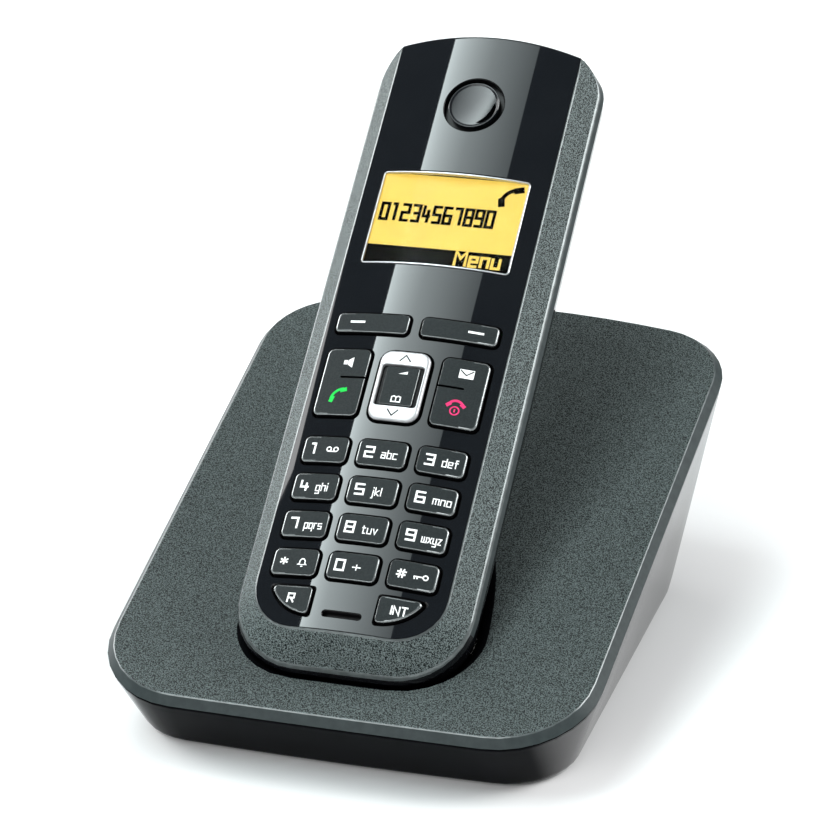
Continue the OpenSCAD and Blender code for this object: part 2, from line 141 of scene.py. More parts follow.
NAV_RISE = KEY_RISE + 0.3
GROOVE_R = 0.7
# Cosines of the slopes at which a key's flat top and its rounded edge end
FLAT = 0.955
STEEP = 0.15

# Each ring of the back: height, then its inset at the sides, the bottom end and the top end
BACK = [(-9.4, 0.25, 0.25, 0.3), (-13, 0.9, 0.8, 1.4), (-18, 3, 2.4, 5), (-22.5, 6.2, 5, 12),
        (-25.5, 10.2, 8.5, 22), (-27, 15.5, 14, 34)]


# ---- outlines ----

def arc(centre, radius, start, end, steps=8):
    """Points of an arc between two angles in degrees."""
    angles = [math.radians(start + (end - start) * i / steps) for i in range(steps + 1)]
    return [(centre[0] + radius * math.cos(a), centre[1] + radius * math.sin(a)) for a in angles]


def bowed(point, bow, way, steps=5):
    """Points of a bowed edge from a point, where it slopes by the angle bow, to x = 0."""
    x, y = point
    rise = way * x * math.tan(math.radians(bow)) / 2
    parts = [i / steps for i in range(1, steps + 1)]
    return [(x * (1 - t), y + rise * (1 - (1 - t) ** 2)) for t in parts]


def outline(hf, hr, yf, yr, rf, rr, bow_f, bow_r, grow=0.0, side_steps=10):
    """An outline symmetric about x = 0, anticlockwise from its front middle.

    It has the same number of points whatever its sizes are.
    """
    hf, hr, yf, yr, rf, rr = hf + grow, hr + grow, yf - grow, yr + grow, rf + grow, rr + grow
    front = arc((hf - rf, yf + rf), rf, -90 + bow_f, 0)
    rear = arc((hr - rr, yr - rr), rr, 0, 90 - bow_r)
    low, high = front[-1], rear[0]
    shares = [i / side_steps for i in range(1, side_steps)]
    side = [(low[0] + (high[0] - low[0]) * t, low[1] + (high[1] - low[1]) * t) for t in shares]
    right = bowed(front[0], bow_f, -1)[::-1] + front + side + rear + bowed(rear[-1], bow_r, 1)
    return right + [(-x, y) for x, y in right[-2:0:-1]]


def handset_outline(side, bottom, top):
    """The handset's outline, drawn in by an inset at its sides, its bottom and its top."""
    half = HALF - side
    return outline(half, half, bottom, LENGTH - TOP_RISE - top, max(BOTTOM_R - side, 3),
                   max(TOP_R - side / 2, 3), 1, math.degrees(TOP_BOW))


def top_edge(x):
    """Upper end of the inlay at x, on the bow of the handset's top end."""
    bow_half = HALF - TOP_R + TOP_R * math.sin(TOP_BOW)
    return LENGTH - TOP_INSET - math.tan(TOP_BOW) / 2 * x * x / bow_half


def round_rect(box, radius, grow=0.0, steps=5, along=10):
    """A rectangle with round corners, anticlockwise from the middle left.

    Its upper half is the mirror image of its lower half, with points along both so that it can
    follow the crown.
    """
    x0, y0, x1, y1 = box[0] - grow, box[1] - grow, box[2] + grow, box[3] + grow
    r = max(radius + grow, 0.05)
    lower = arc((x0 + r, y0 + r), r, 180, 270, steps)
    lower += [(x0 + r + (x1 - x0 - 2 * r) * i / along, y0) for i in range(1, along)]
    lower += arc((x1 - r, y0 + r), r, 270, 360, steps)
    return lower + [(x, y0 + y1 - y) for x, y in lower[::-1]]


def quarter_outline(side, grow=0.0, fillet=0.8):
    """The key under an outer column: a rectangle cut by one large arc, with small fillets."""
    left, top, arc_y, arc_r = 7.4, 15.9, 20.4, 10.5
    e = fillet - grow
    low = (left + e, arc_y - math.sqrt((arc_r - e) ** 2 - e * e))
    tip = (left + math.sqrt((arc_r - e) ** 2 - (arc_y - top + e) ** 2), top - e)
    bottom = math.degrees(math.atan2(low[1] - arc_y, low[0] - left)) + 360
    right = math.degrees(math.atan2(tip[1] - arc_y, tip[0] - left)) + 360
    points = arc((left + e, top - e), fillet, 90, 180, 4) + arc(low, fillet, 180, bottom, 4)
    points += arc((left, arc_y), arc_r + grow, bottom, right, 8)[1:-1] + arc(tip, fillet, right, 450, 6)
    return points if side > 0 else [(-x, y) for x, y in points[::-1]]


def inset_box(box, across, along):
    """A box drawn in at its sides and at its ends."""
    return (box[0] + across, box[1] + along, box[2] - across, box[3] - along)


def crown(x):
    """Height of the face's crown at x."""
    return math.sqrt(CROWN_R ** 2 - x * x) - CROWN_R


def over_crown(height):
    """A height over the crown, as a function of x and y."""
    return lambda x, y: crown(x) + height


def crown_normal(x, y=0.0):
    """Outward direction of the crown, which is the same at every y."""
    return Vector((x, 0, math.sqrt(CROWN_R ** 2 - x * x))) / CROWN_R


def back_insets(z):
    """Side, bottom and top inset of the back at the height z, on a smooth curve."""
    if z >= BACK[0][0]:
        return Vector(BACK[0][1:])
    z = max(z, BACK[-1][0])
    i = next(k for k in range(len(BACK) - 1) if z >= BACK[k + 1][0])
    slopes = []
    for k in (i, i + 1):
        a, b = BACK[max(k - 1, 0)], BACK[min(k + 1, len(BACK) - 1)]
        slopes.append((Vector(b[1:]) - Vector(a[1:])) / (b[0] - a[0]))
    a, b = BACK[i], BACK[i + 1]
    span = b[0] - a[0]
    t = (z - a[0]) / span
    return (Vector(a[1:]) * (2 * t ** 3 - 3 * t * t + 1) + slopes[0] * span * (t ** 3 - 2 * t * t + t)
            + Vector(b[1:]) * (3 * t * t - 2 * t ** 3) + slopes[1] * span * (t ** 3 - t * t))


# ---- frames ----

def joint_axis(name):
    return Vector(next(j["axis"] for j in frame["joints"] if j["name"] == name))


def extent(node, turn):
    """Lowest and highest coordinates of a CAD node, in millimetres, in a turned frame."""
    points = [turn @ (v.co / MM) for v in NODES[node].data.vertices]
    return [(min(p[i] for p in points), max(p[i] for p in points)) for i in range(3)]


def slanted_frame(tilt, low_node, low_y, high_node):
    """A frame tilted about X, with y = low_y at a node's low end and z = 0 at a node's top."""
    turn = Matrix.Rotation(tilt, 4, "X")
    y = extent(low_node, turn.inverted())[1][0] - low_y
    z = extent(high_node, turn.inverted())[2][1]
    return turn @ Matrix.Translation((0, y, z))


key_axis = joint_axis("key_5_press")
HANDSET = slanted_frame(math.atan2(-key_axis.y, key_axis.z), "handset_front_shell",
                        min(y for x, y in handset_outline(0, 0, 0)), "inlay_panel")
PLATE = slanted_frame(PLATE_TILT, "base_top_cover",
                      min(y for x, y in outline(**RIM, grow=RIM_FLARE)), "base_top_cover")
CENTRE = Matrix.Translation((0, (PLATE @ Vector((0, 0, 0))).y, 0))
PLATE_TO_HANDSET = HANDSET.inverted() @ PLATE


# ---- meshes ----

def mesh_of(points, faces):
    """A closed mesh with its normals outward."""
    mesh = bpy.data.meshes.new("shape")
    mesh.from_pydata([tuple(p) for p in points], [], faces)
    work = bmesh.new()
    work.from_mesh(mesh)
    bmesh.ops.recalc_face_normals(work, faces=work.faces)
    work.to_mesh(mesh)
    work.free()
    return mesh


def loft(rings, around=False, strips=False):
    """A closed skin over rings with equal numbers of points, capped, or joined end to end.

    With strips, the last cap is made of strips along y, so that it follows the crown.
    """
    size = len(rings[0])
    points = [p for ring in rings for p in ring]
    pairs = [(k, k + 1) for k in range(len(rings) - 1)] + ([(len(rings) - 1, 0)] if around else [])
    faces = [(a * size + i, a * size + (i + 1) % size, b * size + (i + 1) % size, b * size + i)
             for a, b in pairs for i in range(size)]
    if not around:
        last = (len(rings) - 1) * size
        faces.append(tuple(range(size))[::-1])
        if strips:
            faces += [(last + i, last + i + 1, last + size - 2 - i, last + size - 1 - i)
                      for i in range(size // 2 - 1)]
        else:
            faces.append(tuple(last + i for i in range(size)))
    return mesh_of(points, faces)


def at(points, z):
    """A flat outline as a ring at the height z, which may be a function of x and y."""
    return [Vector((x, y, z(x, y) if callable(z) else z)) for x, y in points]


def mix(a, b, share):
    """A ring between two rings."""
    return [p.lerp(q, share) for p, q in zip(a, b)]


def lowered(ring, depth):
    """A ring moved down by a depth."""
    return [p - Vector((0, 0, depth)) for p in ring]


def crown_rings(box, radius, steps, base=0.0):
    """Rings round a box over the crown, each from its inset and its height above the base."""
    return [at(round_rect(box, radius, -inset), over_crown(base + height)) for inset, height in steps]


def prism(points, low, high):
    """An upright solid on a flat outline."""
    return loft([at(points, low), at(points, high)])


def drum(x, y, radius, low, high, steps=40):
    """An upright cylinder."""
    return prism(arc((x, y), radius, 0, 360, steps)[:-1], low, high)


def joined(meshes):
    """Several meshes as one."""
    work = bmesh.new()
    for mesh in meshes:
        work.from_mesh(mesh)
    result = bpy.data.meshes.new("shape")
    work.to_mesh(result)
    work.free()
    return result


def add_object(name, data):
    """A new object in the scene."""
    result = bpy.data.objects.new(name, data)
    bpy.context.scene.collection.objects.link(result)
    return result


def boolean(mesh, tool, operation="DIFFERENCE"):
    """The mesh less the tool, or what the two have in common."""
    holders = [add_object("holder", m) for m in (mesh, tool)]
    modifier = holders[0].modifiers.new("cut", "BOOLEAN")
    modifier.object = holders[1]
    modifier.operation = operation
    modifier.solver = "EXACT"
    seen = holders[0].evaluated_get(bpy.context.evaluated_depsgraph_get())
    result = bpy.data.meshes.new_from_object(seen)
    for holder in holders:
        bpy.data.objects.remove(holder)
    return result


def shade(mesh, angle, normal_at):
    """Smooth shading with sharp edges over the angle, and exact normals on the known surface."""
    mesh.shade_smooth()
    mesh.set_sharp_from_angle(angle=math.radians(angle))
    if not normal_at:
        return
    normals = [Vector(n.vector) for n in mesh.corner_normals]
    for face in mesh.polygons:
        if face.normal.dot(normal_at(face.center.x, face.center.y)) > 0.985:
            for loop in face.loop_indices:
                spot = mesh.vertices[mesh.loops[loop].vertex_index].co
                normals[loop] = normal_at(spot.x, spot.y)
    mesh.normals_split_custom_set(normals)


def piece(name, mesh, place, finishes, body, stands_for=(), angle=35, normal_at=None,
          choose=None):
    """Puts a mesh in millimetres into the scene as a piece that rides on a body."""
    mesh.name = name
    mesh.materials.clear()
    for material in finishes if isinstance(finishes, list) else [finishes]:
        mesh.materials.append(material)
    for face in mesh.polygons:
        face.material_index = choose(face) if choose else 0
    shade(mesh, angle, normal_at)
    normals = [place.to_3x3() @ Vector(n.vector) for n in mesh.corner_normals]
    mesh.transform(Matrix.Scale(MM, 4) @ place)
    result = add_object(name, mesh)
    if normal_at:
        mesh.normals_split_custom_set(normals)
    else:
        result.modifiers.new("even_shading", "WEIGHTED_NORMAL").keep_sharp = True
    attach(result, body)
    if stands_for:
        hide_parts(*stands_for)
    return result


# ---- materials ----

def add_node(material, kind, **values):
    """A shader node with values on its sockets, in whose names _ stands for a blank."""
    result = material.node_tree.nodes.new("ShaderNode" + kind)
    for name, value in values.items():
        result.inputs[name.replace("_", " ")].default_value = value
    return result


def wire(source, output, target, socket):
    """Links an output of a shader node to a socket of another."""
    source.id_data.links.new(source.outputs[output], target.inputs[socket])


def finish(name, dark, light, rough, grain, bump=0.0, metallic=0.0, spread=0.06, glow=0.0,
           specular=0.5, contrast=0.14):
    """A moulded or painted surface whose shade, gloss and relief vary by a grain in millimetres."""
    material = bpy.data.materials.new(name)
    material.use_nodes = True
    shader = material.node_tree.nodes["Principled BSDF"]
    shader.inputs["Metallic"].default_value = metallic
    shader.inputs["Specular IOR Level"].default_value = specular
    where = add_node(material, "TexCoord")
    noise = add_node(material, "TexNoise", Scale=1 / (grain * MM), Detail=3)
    gloss = add_node(material, "MapRange", To_Min=rough, To_Max=rough + spread)
    shade_ramp = add_node(material, "ValToRGB")
    for stop, side, colour in zip(shade_ramp.color_ramp.elements, (-1, 1), (dark, light)):
        stop.position = 0.5 + side * contrast
        stop.color = (*colour, 1)
    wire(where, "Object", noise, "Vector")
    wire(noise, "Fac", shade_ramp, "Fac")
    wire(noise, "Fac", gloss, "Value")
    wire(shade_ramp, "Color", shader, "Base Color")
    wire(gloss, "Result", shader, "Roughness")
    if bump:
        relief = add_node(material, "Bump", Strength=bump, Distance=grain * MM * 0.3)
        wire(noise, "Fac", relief, "Height")
        wire(relief, "Normal", shader, "Normal")
    if glow:
        wire(shade_ramp, "Color", shader, "Emission Color")
        shader.inputs["Emission Strength"].default_value = glow
    return material


def grey(level):
    return (level, level, level)


def glass_finish():
    """The clear lens over the display."""
    material = finish("clear_lens", (0.97, 0.98, 0.98), (1, 1, 1), 0.0, 20, spread=0.01)
    shader = material.node_tree.nodes["Principled BSDF"]
    shader.inputs["Transmission Weight"].default_value = 1
    shader.inputs["IOR"].default_value = 1.08
    return material


def housing_finish():
    """Black lacquer, the same all round, its reflection held down on the front as painted shade and raised towards
    the two side walls.
    """
    material = finish("housing_black", (0.002, 0.0025, 0.003), (0.003, 0.0035, 0.0045), 0.14, 6,
                      spread=0.04)
    where = add_node(material, "TexCoord")
    split = add_node(material, "SeparateXYZ")
    away = add_node(material, "Math")
    away.operation = "ABSOLUTE"
    # Reflection strength by distance from the middle: painted shade on the front wall, a stronger reflection on
    # the side walls
    painted_reflection_level = add_node(material, "MapRange", From_Min=43 * MM, From_Max=51 * MM, To_Min=0.03, To_Max=0.8)
    painted_reflection_level.interpolation_type = "SMOOTHSTEP"
    wire(where, "Object", split, "Vector")
    wire(split, "X", away, 0)
    wire(away, "Value", painted_reflection_level, "Value")
    wire(painted_reflection_level, "Result", material.node_tree.nodes["Principled BSDF"], "Specular IOR Level")
    return material


textured = finish("textured_paint", (0.002, 0.004, 0.004), (0.1, 0.124, 0.122), 0.4, 0.26,
                  bump=1.0, spread=0.2, contrast=0.06, specular=0.25)
frame_paint = finish("frame_paint", (0.003, 0.006, 0.006), (0.15, 0.182, 0.18), 0.4, 0.24,
                     bump=1.0, spread=0.2, contrast=0.05, specular=0.12)
smooth_grey = finish("smooth_paint", (0.034, 0.043, 0.044), (0.042, 0.052, 0.053), 0.35, 2,
                     specular=0.1)
# Painted highlight: a lighter, part metallic grey on the narrow rounded edges of the rim and of the handset's
# frame, so that a bright line of light shows there
edge_highlight_paint = finish("painted_edge_highlight", (0.1, 0.115, 0.115), (0.14, 0.16, 0.16), 0.2, 2, metallic=0.35)
gloss_black = finish("gloss_black", (0.0035, 0.004, 0.005), (0.005, 0.0055, 0.0065), 0.035, 6,
                     spread=0.02)
housing_black = housing_finish()
inlay_black = finish("inlay_lacquer", (0.0035, 0.005, 0.007), (0.0045, 0.006, 0.008), 0.02, 8,
                     spread=0.01)
ear_satin = finish("ear_satin", (0.005, 0.006, 0.008), (0.007, 0.008, 0.01), 0.15, 8, spread=0.02)
key_grey = finish("key_satin", (0.017, 0.021, 0.022), (0.024, 0.03, 0.031), 0.45, 0.35, bump=0.08,
                  specular=0.1)
# Painted highlight: a light, mostly metallic grey on the keys' rounded edges, so that bright lines of light show
# there
key_edge = finish("key_edge", (0.24, 0.26, 0.26), (0.3, 0.32, 0.32), 0.2, 1, metallic=0.7)
# Painted shade: near black on the walls of keys and openings, in grooves and on floors under holes, where shade
# falls
key_wall = finish("key_wall", (0.002, 0.002, 0.0025), (0.003, 0.003, 0.0035), 0.3, 2, specular=0.2)
silver = finish("silver_paint", (0.5, 0.51, 0.52), (0.58, 0.59, 0.6), 0.36, 1.5, metallic=0.5)
chrome_line = finish("frame_line", (0.45, 0.46, 0.48), (0.55, 0.56, 0.57), 0.28, 2, metallic=0.8)
# The prints' glow is painted light: the print is no lamp, and glows only to look brighter
white_print = finish("white_print", (0.8, 0.82, 0.82), (0.88, 0.89, 0.89), 0.45, 0.5, glow=0.35,
                     specular=0.2)
green_print = finish("green_print", (0.0, 0.5, 0.05), (0.005, 0.56, 0.07), 0.5, 0.5, glow=0.2,
                     specular=0.2)
red_print = finish("red_print", (0.62, 0.025, 0.13), (0.7, 0.035, 0.16), 0.5, 0.5, glow=0.2,
                   specular=0.2)
dark_print = finish("dark_print", grey(0.012), grey(0.02), 0.5, 0.5)
amber = finish("amber_backlight", (0.31, 0.21, 0.033), (0.33, 0.23, 0.04), 0.4, 6, glow=2.2,
               specular=0.2)
lcd_black = finish("lcd_segments", (0.002, 0.0018, 0.0015), (0.003, 0.0026, 0.002), 0.5, 1,
                   specular=0.0)
rubber = finish("foot_rubber", grey(0.012), grey(0.022), 0.75, 0.4, bump=0.2)
board_green = finish("board_green", (0.01, 0.09, 0.03), (0.016, 0.13, 0.045), 0.35, 1.2)
steel = finish("tinned_steel", grey(0.5), (0.66, 0.66, 0.65), 0.28, 0.8, metallic=1)
gold = finish("gold_plate", (0.78, 0.56, 0.2), (0.9, 0.68, 0.3), 0.18, 0.5, metallic=1)
black_moulding = finish("black_moulding", (0.014, 0.014, 0.015), (0.024, 0.024, 0.026), 0.5, 0.3,
                        bump=0.15)
pale_moulding = finish("pale_moulding", (0.55, 0.54, 0.5), (0.64, 0.63, 0.59), 0.5, 0.4, bump=0.1)
battery_wrap = finish("battery_wrap", (0.05, 0.2, 0.09), (0.08, 0.28, 0.12), 0.25, 3)
blue_sleeve = finish("blue_sleeve", (0.012, 0.02, 0.09), (0.02, 0.03, 0.14), 0.3, 1)
lens = glass_finish()

SLOT_FINISH = {
    "textured_grey": textured, "gloss_black": gloss_black, "key_grey": key_grey,
    "silver_paint": silver, "clear_window": lens, "amber_display": amber, "black_rubber": rubber,
    "green_board": board_green, "tinned_steel": steel, "gold_plate": gold,
    "black_moulding": black_moulding, "pale_moulding": pale_moulding,
    "battery_wrap": battery_wrap, "blue_sleeve": blue_sleeve}


def dress_cad_nodes():
    """Gives every CAD node the finish of its slot in the record."""
    for part in frame["record"]["subparts"]:
        for holder in NODES[part["node"]].material_slots:
            holder.material = SLOT_FINISH[part["material_slot"]]


# ---- base station ----

def in_cradle(spot, grow):
    """Whether a point of the top cover's frame lies inside the handset's back, grown."""
    p = PLATE_TO_HANDSET @ spot
    if p.z < -DEPTH - grow:
        return False
    deeper = grow * min(max((SEAM_Z - p.z) / 4, 0), 1)
    side, bottom, top = back_insets(p.z + deeper) - Vector((grow, grow, grow))
    half, radius = HALF - side, max(BOTTOM_R - side, 3)
    if p.y < bottom:
        return False
    rise = min(p.y - bottom, radius)
    return abs(p.x) < half - radius + math.sqrt(radius ** 2 - (radius - rise) ** 2)


def cradle_middle(depth, grow):
    """Middle of the cradle's section at a depth under the top cover, or None below it."""
    rows = [-70 + 0.25 * i for i in range(480)]
    hits = [y for y in rows if in_cradle(Vector((0, y, -depth)), grow)]
    return Vector((0, (hits[0] + hits[-1]) / 2, -depth)) if hits else None


def cradle_ring(depth, grow, angles):
    """The cradle's section at a depth, one point for each angle about its middle."""
    middle = cradle_middle(depth, grow)
    ring = []
    for angle in angles:
        way = Vector((math.cos(angle), math.sin(angle), 0))
        near, far = 0.0, 70.0
        for _ in range(26):
            half = (near + far) / 2
            near, far = (half, far) if in_cradle(middle + way * half, grow) else (near, half)
        ring.append(middle + way * near)
    return ring


def cradle_depth(grow):
    """Depth of the cradle's lowest point under the top cover."""
    depth = 1.0
    while cradle_middle(depth + 0.05, grow):
        depth += 0.05
    return depth


def cover_rings():
    """Rings of the top cover: from under the cradle to the rim, over the plate, into the cradle."""
    middle = cradle_middle(0, CRADLE_GAP)
    angles = [math.atan2(y - middle.y, x) for x, y in outline(**RIM)]
    outer = CRADLE_GAP + CRADLE_WALL
    depth = cradle_depth(outer)
    rings = []
    for share in (0.99, 0.95, 0.87, 0.75, 0.6, 0.45, 0.3):
        rings.append(cradle_ring(depth * share, outer, angles))
    rings.append(cradle_ring(COVER_T, outer + 0.4, angles))
    # Distance out from the rim, and height
    for grow, z in ((-1.5, -COVER_T), (RIM_FLARE - 0.2, -COVER_T), (RIM_FLARE, -COVER_T + 0.15),
                    (0.2, -0.26), (0.08, -0.13), (-0.06, -0.04), (-0.22, 0), (-1.2, 0)):
        rings.append(at(outline(**RIM, grow=grow), z))
    # Depth below the plate, and growth of the lip's round edge
    for down, more in ((0, 2.0), (0, LIP), (0.12, LIP - 0.12), (0.34, LIP - 0.35),
                       (0.7, LIP - 0.65), (1.2, 0.4), (1.9, 0.15), (2.6, 0)):
        rings.append(cradle_ring(down, CRADLE_GAP + more, angles))
    depth = cradle_depth(CRADLE_GAP)
    for share in (0.2, 0.3, 0.45, 0.6, 0.75, 0.87, 0.95, 0.99):
        rings.append(cradle_ring(depth * share, CRADLE_GAP, angles))
    return rings


def top_cover():
    """The textured lid with its thin glossy rim, a highlight painted along it, and the cradle, its black painted
    shade, bored for the charging pins.
    """
    holes = joined([drum(x, y, PIN_HOLE_R, -DEPTH - 8, -DEPTH + 3) for x, y in PINS])
    holes.transform(PLATE_TO_HANDSET.inverted())
    mesh = boolean(loft(cover_rings()), holes)

    def choose(face):
        if face.center.z > -0.02:
            return 0
        # The cradle's lip and walls are gloss black: smooth as moulded, their black painted shade in the recess
        if in_cradle(face.center, CRADLE_GAP + LIP):
            return 2
        if face.normal.z < 0.05:
            return 0
        # The rim's rounded edge carries a painted highlight; below it lies the smooth band
        return 1 if face.center.z > -0.25 else 3

    piece("top_cover", mesh, PLATE, [textured, edge_highlight_paint, gloss_black, smooth_grey], "base",
          ["base_top_cover"], angle=50, choose=choose)


def housing_ring(share, inset, lift=0.0):
    """A ring of the housing's wall, from its top edge (share 0) to its foot (share 1)."""
    top = at(outline(**RIM, grow=RIM_FLARE - 0.1 - inset), -COVER_T - GROOVE + lift)
    foot = at(outline(**FOOT, grow=-inset), FLOOR_Z)
    return mix([PLATE @ p for p in top], [CENTRE @ p for p in foot], share)


def rear_frame():
    """The frame of the paging key, with z along its travel."""
    axis = joint_axis("paging_key_press").normalized()
    turn = Vector((0, 0, 1)).rotation_difference(axis).to_matrix().to_4x4()
    low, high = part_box("paging_key")
    return Matrix.Translation((low + high) / 2 / MM) @ turn


def lower_housing():
    """The tapered black casing, with its wells, the sockets' mouths and the paging key's hole."""
    # Share of the way from the top to the foot, inset, and lift of the top end
    profile = ((1, 1.3, 0), (0.985, 0.45, 0), (0.955, 0.1, 0), (0.9, 0, 0), (0.6, 0, 0), (0.3, 0, 0),
               (0.03, 0, 0), (0.01, 0.06, 0), (0, 0.2, 0), (0, 0.9, 0), (0, 0.9, 0.35),
               (0, WALL, 0.35), (0.5, WALL, 0), (0.93, WALL, 0))
    mesh = loft([housing_ring(*step) for step in profile])
    cutters = [drum(x, y, FOOT_POCKET_R, -1, 1.6) for x, y in FEET]
    cutters += [drum(x, y, SCREW_WELL_R, -1, 1.7) for x, y in SCREW_WELLS]
    for x in SOCKETS_X:
        mouth = round_rect((x - SOCKET_HALF, 40, x + SOCKET_HALF, 70), 0.6)
        cutters.append(prism(mouth, *SOCKET_Z))
    tool = joined(cutters)
    tool.transform(CENTRE)
    mesh = boolean(mesh, tool)
    hole = drum(0, 0, PAGING_HOLE_R, -8, 8)
    hole.transform(rear_frame())
    mesh = boolean(mesh, hole)
    piece("lower_housing", mesh, Matrix.Identity(4), housing_black, "base",
          ["base_lower_housing"], angle=40)


# ---- handset shells ----

def inlay_outline(grow=0.0):
    """The inlay's outline: round at the bottom, cut by the handset's own outline at the top."""
    whole = handset_outline(0, 0, 0.1)
    lower = handset_outline(HALF - INLAY_HALF - grow, INLAY_Y - grow, 0)
    limit = INLAY_HALF + grow
    points = []
    for (wx, wy), (lx, ly) in zip(whole, lower):
        if ly < LENGTH / 2:
            points.append((lx, ly))
        else:
            x = max(-limit, min(limit, wx))
            points.append((x, min(wy - 0.1, top_edge(x) + grow)))
    return points


def edge_height(x, y):
    """Height of the front shell's crisp edge, which climbs to the inlay round the top corners."""
    if y < LENGTH / 2:
        return EDGE_Z
    inlay_z = crown(INLAY_HALF)
    slope = (inlay_z - EDGE_Z) / (HALF - EDGE_INSET - INLAY_HALF)
    return min(inlay_z - (abs(x) - INLAY_HALF) * slope, crown(min(abs(x), INLAY_HALF)) - 0.9)


def front_rings():
    """Rings of the front shell, from its seam over the bevel to the inlay and back inside."""
    foot = at(handset_outline(0, 0, 0), SEAM_Z)
    edge = at(handset_outline(EDGE_INSET, EDGE_INSET, 0.1), edge_height)
    lip = at(inlay_outline(0.08), face_height)
    band, bevel = mix(foot, edge, 0.72), mix(edge, lip, 0.075)
    rings = [mix(foot, edge, 0.04), mix(foot, edge, 0.5)]
    rings += [mix(mix(band, edge, t), mix(edge, bevel, t), t) for t in FILLET_STEPS]
    rings += [mix(edge, lip, share) for share in (0.3, 0.6, 0.93)]
    rings += [lowered(mix(edge, lip, 0.965), 0.02), lowered(lip, 0.1), lowered(lip, INLAY_T + 0.1)]
    ledge = inlay_outline(-INLAY_LEDGE)
    rings += [at(ledge, over_crown(-INLAY_T - 0.1)), at(ledge, -4.4)]
    rings += [at(handset_outline(2.6, 2.6, 3.4), -7.9), at(handset_outline(1.9, 1.9, 2), SEAM_Z)]
    return rings


def front_shell():
    """The bevelled frame, with highlights painted along its edge and its lip, black at the bottom end."""
    rings = front_rings()
    size = len(rings[0])
    fillet = range(2, 2 + len(FILLET_STEPS) - 1)
    lip = range(fillet[-1] + 4, fillet[-1] + 6)

    def choose(face):
        strip = face.index // size
        if strip < fillet[0] and face.center.y < BOTTOM_R - 3:
            return 3
        # The fillet at the crisp edge and the lip at the inlay carry a painted highlight
        if strip in fillet or strip in lip:
            return 2
        return 1 if strip < fillet[0] else 0

    piece("front_shell", loft(rings, around=True), HANDSET,
          [frame_paint, smooth_grey, edge_highlight_paint, gloss_black],
          "handset", ["handset_front_shell"], angle=28, choose=choose)


def back_ring(z, grow=0.0):
    """The back's outline at the height z."""
    side, bottom, top = back_insets(z)
    return at(handset_outline(side - grow, bottom - grow, top - grow), z)


def back_skin(grow, seam_z, steps=26):
    """Rings of the back from its seam to its flat, close together where it turns fastest."""
    levels = [BACK[0][0] + (BACK[-1][0] - BACK[0][0]) * math.sin(math.pi / 2 * i / steps)
              for i in range(steps + 1)]
    rings = [back_ring(z, grow) for z in levels]
    if grow:
        rings = [lowered(ring, grow) if ring[0].z < -14 else ring for ring in rings]
    return [at(handset_outline(0.25 - grow, 0.25 - grow, 0.3 - grow), seam_z)] + rings[1:]


def back_solid():
    """The back shell before its wells and openings are cut."""
    outer = back_skin(0, SEAM_Z - SEAM)
    inner = back_skin(-BACK_WALL, SEAM_Z - SEAM)
    tongue = [at(handset_outline(1.0, 1.0, 1.0), SEAM_Z - SEAM),
              at(handset_outline(1.1, 1.1, 1.1), SEAM_Z - 0.05),
              at(handset_outline(1.7, 1.7, 1.7), SEAM_Z - 0.05)]
    rim = [at(handset_outline(0.45, 0.45, 0.5), SEAM_Z - SEAM + 0.02)]
    return loft(outer[::-1] + rim + tongue + inner[1:])


def back_shell():
    """The glossy back, open where the battery cover lies and slides."""
    left, low, right, high = inset_box(COVER_BOX, -COVER_GAP, -COVER_GAP)
    cutters = [prism(round_rect((left, low, right, high + COVER_TRAVEL), COVER_R), -30, -22)]
    cutters += [drum(x, y, BACK_WELL_R, -40, -13) for x, y in BACK_WELLS]
    cutters += [drum(x, y, CONTACT_R, -28, -26.3) for x, y in PINS]
    mesh = boolean(back_solid(), joined(cutters))
    piece("back_shell", mesh, HANDSET, gloss_black, "handset",
          ["handset_back_shell"], angle=40)


def battery_cover():
    """The battery cover, cut from the same solid as the back."""
    mesh = boolean(back_solid(), prism(round_rect(COVER_BOX, COVER_R), -30, -22), "INTERSECT")
    piece("cover_of_battery", mesh, HANDSET, gloss_black, "battery_cover",
          ["battery_cover"], angle=40)


# ---- face ----

def digit_box(row, column):
    """Where a digit key lies, with rows counted from the lowest."""
    left, right = COLUMNS[column]
    middle = ROW_0_Y + row * ROW_PITCH
    return (left, middle - DIGIT_H / 2, right, middle + DIGIT_H / 2)


DIGIT_KEYS = {f"key_{KEY_ROWS[row][column]}": digit_box(row, column)
              for row in range(4) for column in range(3)}


def face_height(x, y):
    """Height of the inlay: the crown, rolled over at the top end."""
    near = ROLL_R - (top_edge(x) - y)
    return crown(x) - (ROLL_R - math.sqrt(max(ROLL_R ** 2 - near ** 2, 0)) if near > 0 else 0)


def face_normal(x, y):
    """The inlay's outward direction, from the heights round a point."""
    step = 0.01
    dx = face_height(x + step, y) - face_height(x - step, y)
    dy = face_height(x, y + step) - face_height(x, y - step)
    return Vector((-dx, -dy, 2 * step)).normalized()


def opening(points_at, chamfer=0.3):
    """A cutter for an opening in the inlay, with a small chamfer at its top edge."""
    return loft([at(points_at(0), -8), at(points_at(0), over_crown(-0.2)),
                 at(points_at(chamfer), over_crown(0.1)), at(points_at(chamfer), 3)])


